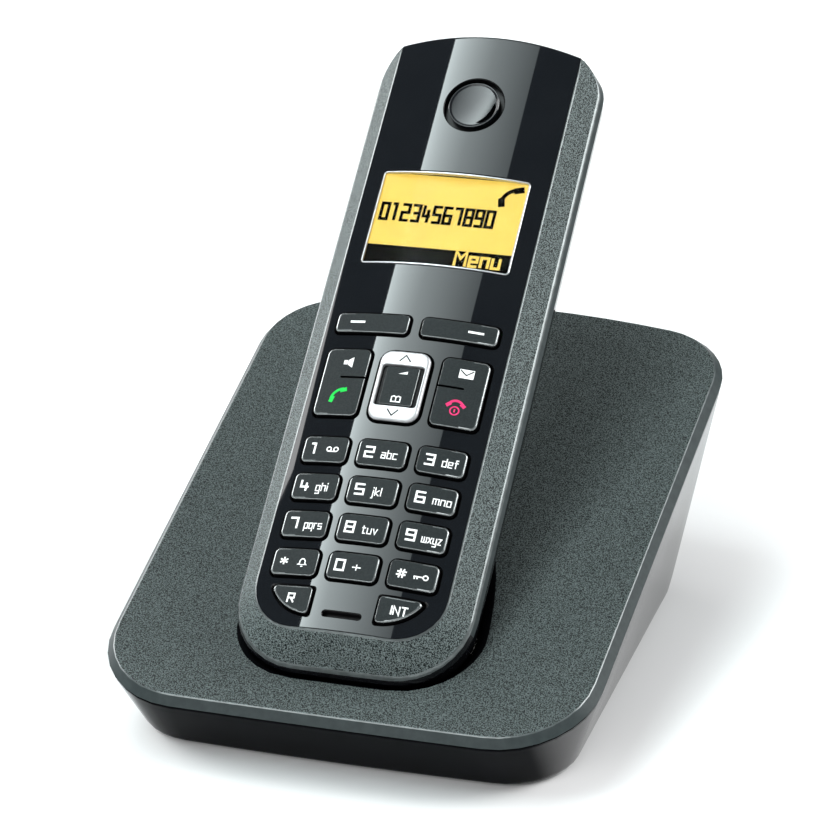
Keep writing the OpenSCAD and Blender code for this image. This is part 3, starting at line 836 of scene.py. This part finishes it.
def inlay_columns():
    """Points of the inlay's top in columns, from its bottom outline over the roll at its end."""
    radius = BOTTOM_R - (HALF - INLAY_HALF)
    columns = []
    for i in range(INLAY_COLUMNS + 1):
        x = INLAY_HALF * math.sin(math.pi / 2 * (2 * i / INLAY_COLUMNS - 1))
        reach = max(abs(x) - (INLAY_HALF - radius), 0)
        low = INLAY_Y + radius - math.sqrt(max(radius ** 2 - reach ** 2, 0))
        roll = top_edge(x) - ROLL_R
        ys = [low + (roll - low) * share for share in (0, 0.02, 0.25, 0.5, 0.75, 0.93)]
        ys += [roll + ROLL_R * math.sin(math.radians(angle)) for angle in range(0, 91, 15)]
        columns.append([(x, y) for y in ys])
    return columns


def inlay_solid():
    """The inlay before its openings are cut."""
    columns = inlay_columns()
    size = len(columns[0])
    top = [p for column in columns for p in column]
    count = len(top)
    points = [(x, y, face_height(x, y)) for x, y in top]
    points += [(x, y, crown(x) - INLAY_T) for x, y in top]
    faces = []
    for i in range(INLAY_COLUMNS):
        for k in range(size - 1):
            a, b = i * size + k, (i + 1) * size + k
            faces += [(a, b, b + 1, a + 1), (count + a, count + a + 1, count + b + 1, count + b)]
    border = list(range(0, count - size, size)) + list(range(count - size, count))
    border += list(range(count - size - 1, size, -size)) + list(range(size - 1, 0, -1))
    faces += [(a, count + a, count + b, b) for a, b in zip(border, border[1:] + border[:1])]
    return mesh_of(points, faces)


def inlay_cutters():
    """The openings of the keys, the display, the earpiece and the microphone."""
    boxes = [(box, DIGIT_R) for box in [*DIGIT_KEYS.values(), *PAIR_KEYS.values()]]
    boxes += [(box, SOFT_R) for box in SOFT_KEYS.values()] + [(NAV, NAV_R)]
    cutters = [opening(lambda g, b=box, r=r: round_rect(b, r, g + KEY_GAP)) for box, r in boxes]
    cutters += [opening(lambda g, s=side: quarter_outline(s, g + KEY_GAP)) for side in (-1, 1)]
    cutters.append(opening(lambda g: round_rect(WINDOW, 1.0, g + 0.1)))
    cutters.append(opening(lambda g: arc((0, EAR_Y), EAR_R + g, 0, 360, 64)[:-1]))
    cutters.append(opening(lambda g: round_rect(MIC_SLOT, MIC_R, g)))
    return cutters


def inlay_panel():
    """The glossy face, with dull walls in its openings, painted a deeper black as shade."""
    mesh = boolean(inlay_solid(), joined(inlay_cutters()))

    # Walls of the openings: rougher, and painted darker as shade
    def choose(face):
        x, y, z = face.center
        return 1 if y < LENGTH - 3 and face.normal.dot(crown_normal(x)) < 0.9 else 0

    piece("inlay", mesh, HANDSET, [inlay_black, key_wall], "handset",
          ["inlay_panel"], normal_at=face_normal, choose=choose)


def key_cap(name, points_at, cut=None, strips=True):
    """A key that follows the crown: satin top, a round edge painted light as a highlight, and walls painted black
    as shade.
    """
    rings = [at(points_at(0), KEY_FOOT)]
    # Inset from the outline, and depth under the key's top
    for inset, depth in ((0, 0.34), (0.05, 0.18), (0.17, 0.05), (0.36, 0)):
        rings.append(at(points_at(-inset), over_crown(KEY_RISE - depth)))
    mesh = loft(rings, strips=strips)
    if cut:
        mesh = boolean(mesh, cut)

    # Walls get painted shade, the rounded edge a painted highlight
    def choose(face):
        if face.normal.z < STEEP:
            return 2
        return 1 if face.normal.z < FLAT else 0

    piece(name + "_cap", mesh, HANDSET, [key_grey, key_edge, key_wall], name, [name],
          angle=50, normal_at=crown_normal, choose=choose)


def keys():
    """All keys but the silver one in the middle."""
    for name, box in DIGIT_KEYS.items():
        key_cap(name, lambda g, b=box: round_rect(b, DIGIT_R, g))
    for name, box in SOFT_KEYS.items():
        key_cap(name, lambda g, b=box: round_rect(b, SOFT_R, g))
    for name, box in PAIR_KEYS.items():
        slot = prism(round_rect(PAIR_SLOTS[name], 0.2), -2, 3)
        key_cap(name, lambda g, b=box: round_rect(b, PAIR_R, g), cut=slot)
    for name, side in (("key_r", -1), ("key_int", 1)):
        key_cap(name, lambda g, s=side: quarter_outline(s, g), strips=False)


def nav_key():
    """The silver ring key: wide silver ends, thin sides, and a black core in its middle."""
    groove = inset_box(NAV, 0.9, 3.4)
    rings = [at(round_rect(NAV, NAV_R), KEY_FOOT)]
    rings += crown_rings(NAV, NAV_R, ((0, -0.7), (0.08, -0.35), (0.3, -0.1), (0.6, 0)), NAV_RISE)
    rings += crown_rings(groove, GROOVE_R, ((-0.15, 0), (0, -0.15), (0.02, -1.0)), NAV_RISE)
    rings.append(at(round_rect(groove, GROOVE_R, -0.02), KEY_FOOT))

    # Faces below the ring's top are painted black: painted shade down its walls and in its groove
    def silvered(face):
        return 0 if face.center.z - crown(face.center.x) > NAV_RISE - 0.6 else 1

    piece("nav_ring_key", loft(rings, around=True), HANDSET, [silver, key_wall], "nav_key",
          ["nav_ring"], angle=50, choose=silvered)
    nav_core(groove)


def nav_core(groove):
    """The black middle of the silver key: a button on a plate that fills the groove."""
    core = inset_box(groove, 1.05, 0.4)
    rings = [at(round_rect(groove, GROOVE_R, -0.05), KEY_FOOT)]
    rings += crown_rings(groove, GROOVE_R, ((0.05, -0.95), (0.3, -0.9)), NAV_RISE)
    rings += crown_rings(core, 0.5, ((0, -0.85), (0, -0.4), (0.12, -0.24), (0.3, -0.2)), NAV_RISE)

    # The core's rounded edge gets a painted highlight, its plate down in the groove is painted black as shade
    def choose(face):
        high = face.center.z - crown(face.center.x) > NAV_RISE - 0.38
        if high and face.normal.z < FLAT:
            return 1
        return 0 if high else 2

    piece("nav_core_key", loft(rings, strips=True), HANDSET, [key_grey, key_edge, key_wall],
          "nav_key", ["nav_core"], angle=40, choose=choose)


def display_window():
    """The lens, and the thin silvery line round it."""
    line = ((-0.02, -0.9), (-0.02, 0), (0.06, 0.07), (0.26, 0.07), (0.34, 0), (0.34, -0.9))
    piece("window_line", loft(crown_rings(WINDOW, 0.9, line), around=True), HANDSET, chrome_line,
          "handset")
    rings = [at(round_rect(WINDOW, 0.7, -0.36), LCD_Z + 0.12)]
    rings += crown_rings(WINDOW, 0.7, [(0.36, -0.02)])
    piece("window_lens", loft(rings, strips=True), HANDSET, lens, "handset",
          ["display_window"], normal_at=crown_normal)


def display_module():
    """The lit display, with a dark row along its lower edge."""
    x0, y0, x1, y1 = WINDOW
    piece("lcd_body", prism(round_rect(WINDOW, 0.5, -0.1), -6, LCD_Z - 0.3), HANDSET, dark_print,
          "handset")
    area = (x0 + 0.4, y0 + 0.4, x1 - 0.4, y1 - 0.2)
    piece("lcd_panel", prism(round_rect(area, 0.4), LCD_Z - 0.35, LCD_Z), HANDSET, amber,
          "handset", ["lcd_module"])
    row = (area[0] - 0.01, area[1] - 0.01, area[2] + 0.01, y0 + 5.2)
    piece("lcd_menu_row", prism(round_rect(row, 0.05), LCD_Z - 0.05, LCD_Z + 0.02), HANDSET,
          lcd_black, "handset")


def display_content():
    """What the display shows: a number, a receiver and the soft key's word."""
    x0, y0, x1, y1 = WINDOW
    lift = LCD_Z + 0.06
    number = ink("01234567890", 2.44, 4.0 / 6, 1.55 / 4, 0.72)
    place_ink("lcd_number", number, (x0 + 1.5, y0 + 11.7), lift, lcd_black, "handset")
    menu = ink("Menu", None, 3.5 / 6, 2.2 / 4, 0.66)
    place_ink("lcd_menu", menu, (x1 - 12.9, y0 + 1.6), lift, amber, "handset")
    receiver = [(arc((2.4, -2.4), 3.3, 98, 172, 8), 0.95), ([(1.8, 0.7), (3.3, 1.1)], 1.5),
                ([(-1.0, -1.7), (-0.7, -3.2)], 1.5)]
    place_ink("lcd_receiver", receiver, (x1 - 4.9, y1 - 2.9), lift, lcd_black, "handset")


def ear_slot(steps=14):
    """The outline of the crescent slot near the right edge of the earpiece disc."""
    outer, inner = [], []
    for i in range(steps + 1):
        angle = math.radians(-72 + 84 * i / steps)
        width = 0.62 * math.sin(math.pi * i / steps) ** 0.6 + 0.02
        for side, radius in ((outer, EAR_SLOT_R + width), (inner, EAR_SLOT_R - width)):
            side.append((radius * math.cos(angle), EAR_Y + radius * math.sin(angle)))
    return outer + inner[::-1]


def earpiece():
    """A dished disc with a lip and a crescent sound slot, in a ring groove whose black floor is painted shade."""
    # Radius and height
    profile = [(0.05, -EAR_DISH - 0.1)]
    for share in (0.2, 0.4, 0.6, 0.75, 0.87, 0.95, 1.0):
        profile.append((EAR_DISC_R * 0.92 * share, -0.1 - EAR_DISH * (1 - share ** 2)))
    profile += [(EAR_DISC_R * 0.95, 0.02), (EAR_DISC_R * 0.98, 0.02), (EAR_DISC_R, -0.08),
                (EAR_DISC_R, -2.6), (0.05, -2.6)]
    disc = loft([at(arc((0, EAR_Y), radius, 0, 360, 72)[:-1], z) for radius, z in profile])
    piece("earpiece_dish", boolean(disc, prism(ear_slot(), -2.2, 2)), HANDSET, ear_satin, "handset",
          ["earpiece_disc"], angle=40)
    # A black floor under the disc and its groove: painted shade
    piece("earpiece_floor", drum(0, EAR_Y, 8.0, -2.7, -1.9, 64), HANDSET, key_wall, "handset")


def microphone_floor():
    """A black floor under the microphone's slot: painted shade in the hole."""
    floor = prism(round_rect(MIC_SLOT, MIC_R, 0.6), -2.6, -1.8)
    piece("microphone_floor", floor, HANDSET, key_wall, "handset")


# ---- printed legends ----

# Strokes of each character on a grid four wide and six high, with bars between the strokes
GLYPHS = {
    "0": "0,0 4,0 4,6 0,6 0,0", "1": "0.4,6 2.2,6 2.2,0", "2": "0,6 4,6 4,3 0,3 0,0 4,0",
    "3": "0,6 4,6 4,0 0,0|1,3 4,3", "4": "0.3,6 0.3,2.2 4,2.2|3,4.4 3,0",
    "5": "4,6 0,6 0,3 4,3 4,0 0,0", "6": "4,6 0,6 0,0 4,0 4,3 0,3", "7": "0,6 3.5,6 3.5,0",
    "8": "0,0 4,0 4,6 0,6 0,0|0,3 4,3", "9": "4,3 0,3 0,6 4,6 4,0 0,0",
    "a": "0,4 3,4 3,0 0,0 0,2.2 3,2.2", "b": "0,6 0,0 3,0 3,4 0,4", "c": "3,4 0,4 0,0 3,0",
    "d": "3,6 3,0 0,0 0,4 3,4", "e": "3,0 0,0 0,4 3,4 3,2 0,2", "f": "2.5,6 1,6 1,0|0,4 2.5,4",
    "g": "3,0 0,0 0,4 3,4 3,-2 0,-2", "h": "0,6 0,0|0,4 3,4 3,0", "i": "0,4 0,0|0,5.4 0,6",
    "j": "1,4 1,-2 0,-2|1,5.4 1,6", "k": "0,6 0,0|3,4 0.2,2 3,0", "l": "0,6 0,0",
    "m": "0,0 0,4 4.4,4 4.4,0|2.2,4 2.2,0", "n": "0,0 0,4 3,4 3,0", "o": "0,0 3,0 3,4 0,4 0,0",
    "p": "0,-2 0,4 3,4 3,0 0,0", "q": "3,-2 3,4 0,4 0,0 3,0", "r": "0,0 0,4 2.2,4",
    "s": "3,4 0,4 0,2 3,2 3,0 0,0", "t": "1,5.5 1,0 2.6,0|0,4 2.6,4", "u": "0,4 0,0 3,0 3,4",
    "v": "0,4 1.5,0 3,4", "w": "0,4 0,0 4.4,0 4.4,4|2.2,4 2.2,0", "x": "0,4 3,0|0,0 3,4",
    "y": "0,4 0,0 3,0|3,4 3,-2 0,-2", "z": "0,4 3,4 0,0 3,0",
    "R": "0,0 0,6 4,6 4,3 0,3|2,3 4,0", "I": "0,0 0,6", "N": "0,0 0,6 4,0 4,6",
    "T": "0,6 4,6|2,6 2,0", "M": "0,0 0,6 2.2,3 4.4,6 4.4,0", "+": "0,3 4,3|2,1 2,5",
    "*": "2,1 2,5|0.3,2 3.7,4|0.3,4 3.7,2",
    "#": "1.2,0.6 1.6,5.4|2.8,0.6 3.2,5.4|0,2.2 4,2.2|0.3,4 4.3,4"}


INK_T = 0.06
# Each stroke of a legend lies this much over the one before it
LAYER = 0.002
# Stroke width that marks a filled outline, and how much that is raised
FILLED = 0
FILL_RISE = 0.02


def ink(text, pitch, unit_y, unit_x, width, gap=1.7):
    """Strokes of a word: a path and a width for each. Its lower left corner is at (0, 0).

    The letters stand at an even pitch or, without one, a gap apart.
    """
    strokes, x = [], 0.0
    for letter in text:
        right = 0.0
        for line in GLYPHS[letter].split("|"):
            path = [tuple(float(v) for v in point.split(",")) for point in line.split()]
            right = max([right] + [p[0] for p in path])
            strokes.append(([(x + px * unit_x, py * unit_y) for px, py in path], width))
        x += pitch if pitch else (right + gap) * unit_x
    return strokes


def moved(strokes, dx, dy):
    """Strokes at another place."""
    return [([(x + dx, y + dy) for x, y in path], width) for path, width in strokes]


def filled_solid(path, height_at):
    """A thin raised solid over a filled outline."""
    return loft([lowered(at(path, height_at), INK_T), lowered(at(path, height_at), -FILL_RISE)])


def stroke_solid(path, width, height_at):
    """A thin raised solid along a path, mitred at its bends."""
    closed = path[0] == path[-1]
    points = [Vector(p) for p in (path[:-1] if closed else path)]
    count = len(points)
    rings = []
    for i, p in enumerate(points):
        ahead = points[(i + 1) % count] if closed or i < count - 1 else None
        back = points[i - 1] if closed or i > 0 else None
        out = (ahead - p).normalized() if ahead is not None else (p - back).normalized()
        into = (p - back).normalized() if back is not None else out
        middle = (into + out).normalized() if (into + out).length > 1e-6 else out
        reach = width / 2 / max(middle.dot(out), 0.5)
        across = Vector((-middle.y, middle.x)) * reach
        end = Vector((0, 0))
        if not closed and i in (0, count - 1):
            end = out * width * (-0.25 if i == 0 else 0.25)
        left, right = p + across + end, p - across + end
        rings.append([Vector((*side, height_at(*side) + lift)) for side, lift in
                      ((left, 0), (right, 0), (right, -INK_T), (left, -INK_T))])
    return loft(rings, around=closed)


def place_ink(name, strokes, corner, lift, material, body, on_crown=False):
    """Lays strokes on the face at a height, or over the crown, as one piece."""
    solids = []
    for k, (path, width) in enumerate(moved(strokes, *corner)):
        height = lift + LAYER * k
        height_at = over_crown(height) if on_crown else lambda x, y, h=height: h
        solids.append(stroke_solid(path, width, height_at) if width else filled_solid(path, height_at))
    return piece(name, joined(solids), HANDSET, material, body, angle=40)


def circle(x, y, radius, steps=14):
    return arc((x, y), radius, 0, 360, steps)


BELL = [(-0.95, -0.55), (-0.6, -0.3), (-0.6, 0.3), (-0.25, 0.75), (0.25, 0.75), (0.6, 0.3), (0.6, -0.3),
        (0.95, -0.55), (-0.95, -0.55)]
BOOK = [(-1.0, -0.6), (-1.0, 0.55), (-0.5, 0.75), (0, 0.5), (0.5, 0.75), (1.0, 0.55), (1.0, -0.6),
        (-1.0, -0.6)]
# Strokes of each sign about its middle, each a path and a width
ICONS = {
    "voicemail": [(circle(-0.8, 0.1, 0.5), 0.26), (circle(0.8, 0.1, 0.5), 0.26),
                  ([(-0.9, -0.42), (0.9, -0.42)], 0.26)],
    "bell": [(BELL, 0.24), ([(-0.2, -0.95), (0.2, -0.95)], 0.24)],
    "key": [([(-1.5, 0), (0.4, 0)], 0.28), (circle(0.95, 0, 0.5), 0.28),
            ([(-1.35, 0), (-1.35, -0.55)], 0.26), ([(-0.75, 0), (-0.75, -0.5)], 0.26)],
    "speaker": [([(-1.3, -0.5), (-0.45, -0.5), (-0.45, 0.5), (-1.3, 0.5)], FILLED),
                ([(-0.3, -0.55), (0.85, -1.25), (0.85, 1.25), (-0.3, 0.55)], FILLED)],
    "receiver": [(arc((2.0, -2.0), 2.75, 98, 172, 8), 0.6), ([(1.3, 0.35), (2.3, 0.62)], 0.95),
                 ([(-0.35, -1.3), (-0.62, -2.3)], 0.95)],
    "envelope": [([(-1.6, -1.05), (1.6, -1.05), (1.6, 1.05), (-1.6, 1.05)], FILLED)],
    "hang_up": [(arc((0, -1.1), 1.75, 35, 145, 8), 0.55), ([(1.25, -0.1), (1.85, -0.6)], 0.8),
                ([(-1.25, -0.1), (-1.85, -0.6)], 0.8), (circle(0, -1.75, 0.95, 20), 0.3),
                ([(0, -2.05), (0, -1.45)], 0.3)],
    "wedge": [([(-1.0, -0.35), (1.0, -0.35), (1.0, 0.35)], FILLED)],
    "book": [(BOOK, 0.26), ([(0, 0.5), (0, -0.6)], 0.22)],
    "up": [([(-1.2, -0.7), (0, 0.7), (1.2, -0.7)], 0.34)],
    "down": [([(-1.2, 0.7), (0, -0.7), (1.2, 0.7)], 0.34)],
    "flap": [([(-1.4, 0.8), (0, -0.3), (1.4, 0.8)], 0.3)],
    "dash": [([(-1.6, 0), (1.6, 0)], 0.5)]}
LETTERS = {"0": "+", "2": "abc", "3": "def", "4": "ghi", "5": "jkl", "6": "mno", "7": "pqrs",
           "8": "tuv", "9": "wxyz"}
LETTER_UNITS = {"+": 0.44, "pqrs": 0.245, "wxyz": 0.225}
KEY_ICONS = {"1": "voicemail", "star": "bell", "hash": "key"}
SIGNS = {"star": "*", "hash": "#"}
# Heights of the upper and the lower print of the talk and end keys, and of the keys below all
UPPER_Y = 69.1
LOWER_Y = 61.9
QUARTER_Y = 12.1


def key_print(name, strokes, corner, body, material=white_print, lift=KEY_RISE + 0.025):
    """Prints strokes, or the sign of a name, on a key."""
    strokes = ICONS[strokes] if isinstance(strokes, str) else strokes
    place_ink("legend_" + name, strokes, corner, lift, material, body, on_crown=True)


def small_print(label):
    """The letters or the sign at the right of a digit."""
    if label in KEY_ICONS:
        return moved(ICONS[KEY_ICONS[label]], 5.2, 1.0)
    letters = LETTERS[label]
    strokes = ink(letters, None, 0.31, LETTER_UNITS.get(letters, 0.28), 0.23, 1.6)
    return moved(strokes, 3.75 if len(letters) < 4 else 3.4, 0)


def digit_legends():
    """The print of the twelve digit keys: a large digit with small print at its right."""
    unit_y, unit_x = 2.3 / 6, 1.85 / 4
    for name, (x0, y0, x1, y1) in DIGIT_KEYS.items():
        label = name[4:]
        corner = (x0 + 1.75, (y0 + y1) / 2 - 1.1)
        strokes = ink(SIGNS.get(label, label), None, unit_y, unit_x, 0.34 if label in SIGNS else 0.44)
        key_print(label, strokes + small_print(label), corner, name)


def talk_and_end_legends():
    left, right = [(box[0] + box[2]) / 2 for box in PAIR_KEYS.values()]
    key_print("speaker", "speaker", (left + 0.6, UPPER_Y), "talk_key")
    key_print("talk", "receiver", (left - 0.9, LOWER_Y), "talk_key", green_print)
    key_print("message", "envelope", (right + 0.5, UPPER_Y), "end_key")
    key_print("message_flap", "flap", (right + 0.5, UPPER_Y), "end_key", dark_print, KEY_RISE + 0.06)
    key_print("end", "hang_up", (right - 0.2, LOWER_Y), "end_key", red_print)


def soft_and_quarter_legends():
    key_print("soft_left", "dash", (-13.3, 79.2), "soft_key_left")
    key_print("soft_right", "dash", (13.6, 79.2), "soft_key_right")
    key_print("r", ink("R", None, 0.32, 0.34, 0.36), (-12.4, QUARTER_Y), "key_r")
    key_print("int", ink("INT", None, 0.31, 0.3, 0.32, 1.5), (10.5, QUARTER_Y), "key_int")


def nav_legends():
    top, core = NAV_RISE + 0.025, NAV_RISE - 0.175
    key_print("up", "up", (0, NAV[3] - 1.8), "nav_key", dark_print, top)
    key_print("down", "down", (0, NAV[1] + 1.8), "nav_key", dark_print, top)
    key_print("volume", "wedge", (0.2, NAV[3] - 5.2), "nav_key", lift=core)
    key_print("book", "book", (0, NAV[1] + 5.1), "nav_key", lift=core)


# ---- stage ----

CAMERA_AIM = Vector((-7.5, 17.8, 45.3)) * MM
CAMERA_DISTANCE = 0.7335
CAMERA_AZIMUTH = math.radians(19.624)
CAMERA_ELEVATION = math.radians(24.607)
CAMERA_ROLL = math.radians(-2.459)
CAMERA_LENS = 141.9
LIGHT_AIM = Vector((0, 0, 0.05))


def camera():
    """The camera in front of the object, a little to its right and above. Gives its place."""
    sa, ca = math.sin(CAMERA_AZIMUTH), math.cos(CAMERA_AZIMUTH)
    se, ce = math.sin(CAMERA_ELEVATION), math.cos(CAMERA_ELEVATION)
    level_right, level_up = Vector((ca, sa, 0)), Vector((-sa * se, ca * se, ce))
    back = Vector((sa * ce, -ca * ce, se))
    right = level_right * math.cos(CAMERA_ROLL) + level_up * math.sin(CAMERA_ROLL)
    up = level_up * math.cos(CAMERA_ROLL) - level_right * math.sin(CAMERA_ROLL)
    data = bpy.data.cameras.new("camera")
    data.lens = CAMERA_LENS
    data.sensor_width = 36
    eye = CAMERA_AIM + back * CAMERA_DISTANCE
    result = add_object("camera", data)
    result.matrix_world = Matrix.Translation(eye) @ Matrix((right, up, back)).transposed().to_4x4()
    bpy.context.scene.camera = result
    return eye


def mirrored_on(eye, x, y, height):
    """Where a ray from the eye, mirrored by the face at x and y, meets a ceiling's height."""
    spot = HANDSET @ Vector((x, y, crown(x))) * MM
    normal = HANDSET.to_3x3() @ crown_normal(x)
    way = (spot - eye).normalized().reflect(normal)
    return spot + way * ((height - spot.z) / way.z)


def stage_quad(name, corners, material):
    """A flat panel that belongs to the stage."""
    mesh = bpy.data.meshes.new(name)
    mesh.from_pydata([tuple(c) for c in corners], [], [(0, 1, 2, 3)])
    mesh.materials.append(material)
    result = add_object(name, mesh)
    return result


def glow_finish(name, near, far, colour, bend):
    """Light that changes across a panel, from near at its first edge to far at its last."""
    material = bpy.data.materials.new(name)
    material.use_nodes = True
    material.node_tree.nodes.clear()
    out = add_node(material, "OutputMaterial")
    shine = add_node(material, "Emission", Color=(*colour, 1))
    where = add_node(material, "TexCoord")
    split = add_node(material, "SeparateXYZ")
    curve = add_node(material, "Math")
    curve.operation = "POWER"
    curve.inputs[1].default_value = bend
    fade = add_node(material, "MapRange", To_Min=near, To_Max=far)
    wire(where, "UV", split, "Vector")
    wire(split, "X", curve, 0)
    wire(curve, "Value", fade, "Value")
    wire(fade, "Result", shine, "Strength")
    wire(shine, "Emission", out, "Surface")
    return material


def ceiling_softbox(eye):
    """The long softbox whose mirror image is the bright band along the handset's face."""
    height, left, right, beyond = 1.6, -8.4, 11.5, 0.9
    corners = []
    for x, y, other in ((left, 0, LENGTH), (left, LENGTH, 0), (right, LENGTH, 0), (right, 0, LENGTH)):
        near, far = mirrored_on(eye, x, y, height), mirrored_on(eye, x, other, height)
        corners.append(near + (near - far) * beyond)
    light = glow_finish("ceiling_softbox", 15.5, 2.0, (0.88, 0.99, 1), 0.6)
    panel = stage_quad("ceiling_softbox", corners, light)
    panel.visible_camera = False
    layer = panel.data.uv_layers.new(name="UVMap")
    for loop, uv in zip(layer.data, ((0, 0), (0, 1), (1, 1), (1, 0))):
        loop.uv = uv


def area_light(name, spot, size, power):
    """A rectangular lamp at a spot, turned to the object."""
    data = bpy.data.lights.new(name, "AREA")
    data.shape = "RECTANGLE"
    data.size, data.size_y = size
    data.energy = power
    way = LIGHT_AIM - Vector(spot)
    turn = way.to_track_quat("-Z", "Y").to_matrix().to_4x4()
    add_object(name, data).matrix_world = Matrix.Translation(spot) @ turn


def studio(eye):
    """A pale floor, a dim room and soft lights."""
    reach = 12
    paper = finish("floor_paper", (0.86, 0.87, 0.87), grey(0.9), 0.9, 200)
    stage_quad("floor", [(-reach, -reach, 0), (reach, -reach, 0), (reach, reach, 0),
                         (-reach, reach, 0)], paper)
    world = bpy.data.worlds.new("room")
    world.use_nodes = True
    world.node_tree.nodes["Background"].inputs["Color"].default_value = (0.9, 0.96, 1, 1)
    world.node_tree.nodes["Background"].inputs["Strength"].default_value = 0.18
    bpy.context.scene.world = world
    ceiling_softbox(eye)
    area_light("right_light", (2.2, 0.9, 1.5), (1.6, 1.6), 78)
    area_light("front_light", (-0.6, -2.4, 1.6), (2.2, 1.2), 41)
    area_light("left_light", (-2.4, 0.4, 1.5), (1.2, 1.8), 40)
    area_light("low_left_light", (-2.2, 1.3, 0.55), (1.2, 1.0), 24)
    bpy.context.scene.view_settings.view_transform = "Standard"


dress_cad_nodes()
top_cover()
lower_housing()
front_shell()
back_shell()
battery_cover()
inlay_panel()
keys()
nav_key()
display_window()
display_module()
display_content()
earpiece()
microphone_floor()
digit_legends()
talk_and_end_legends()
soft_and_quarter_legends()
nav_legends()
studio(camera())
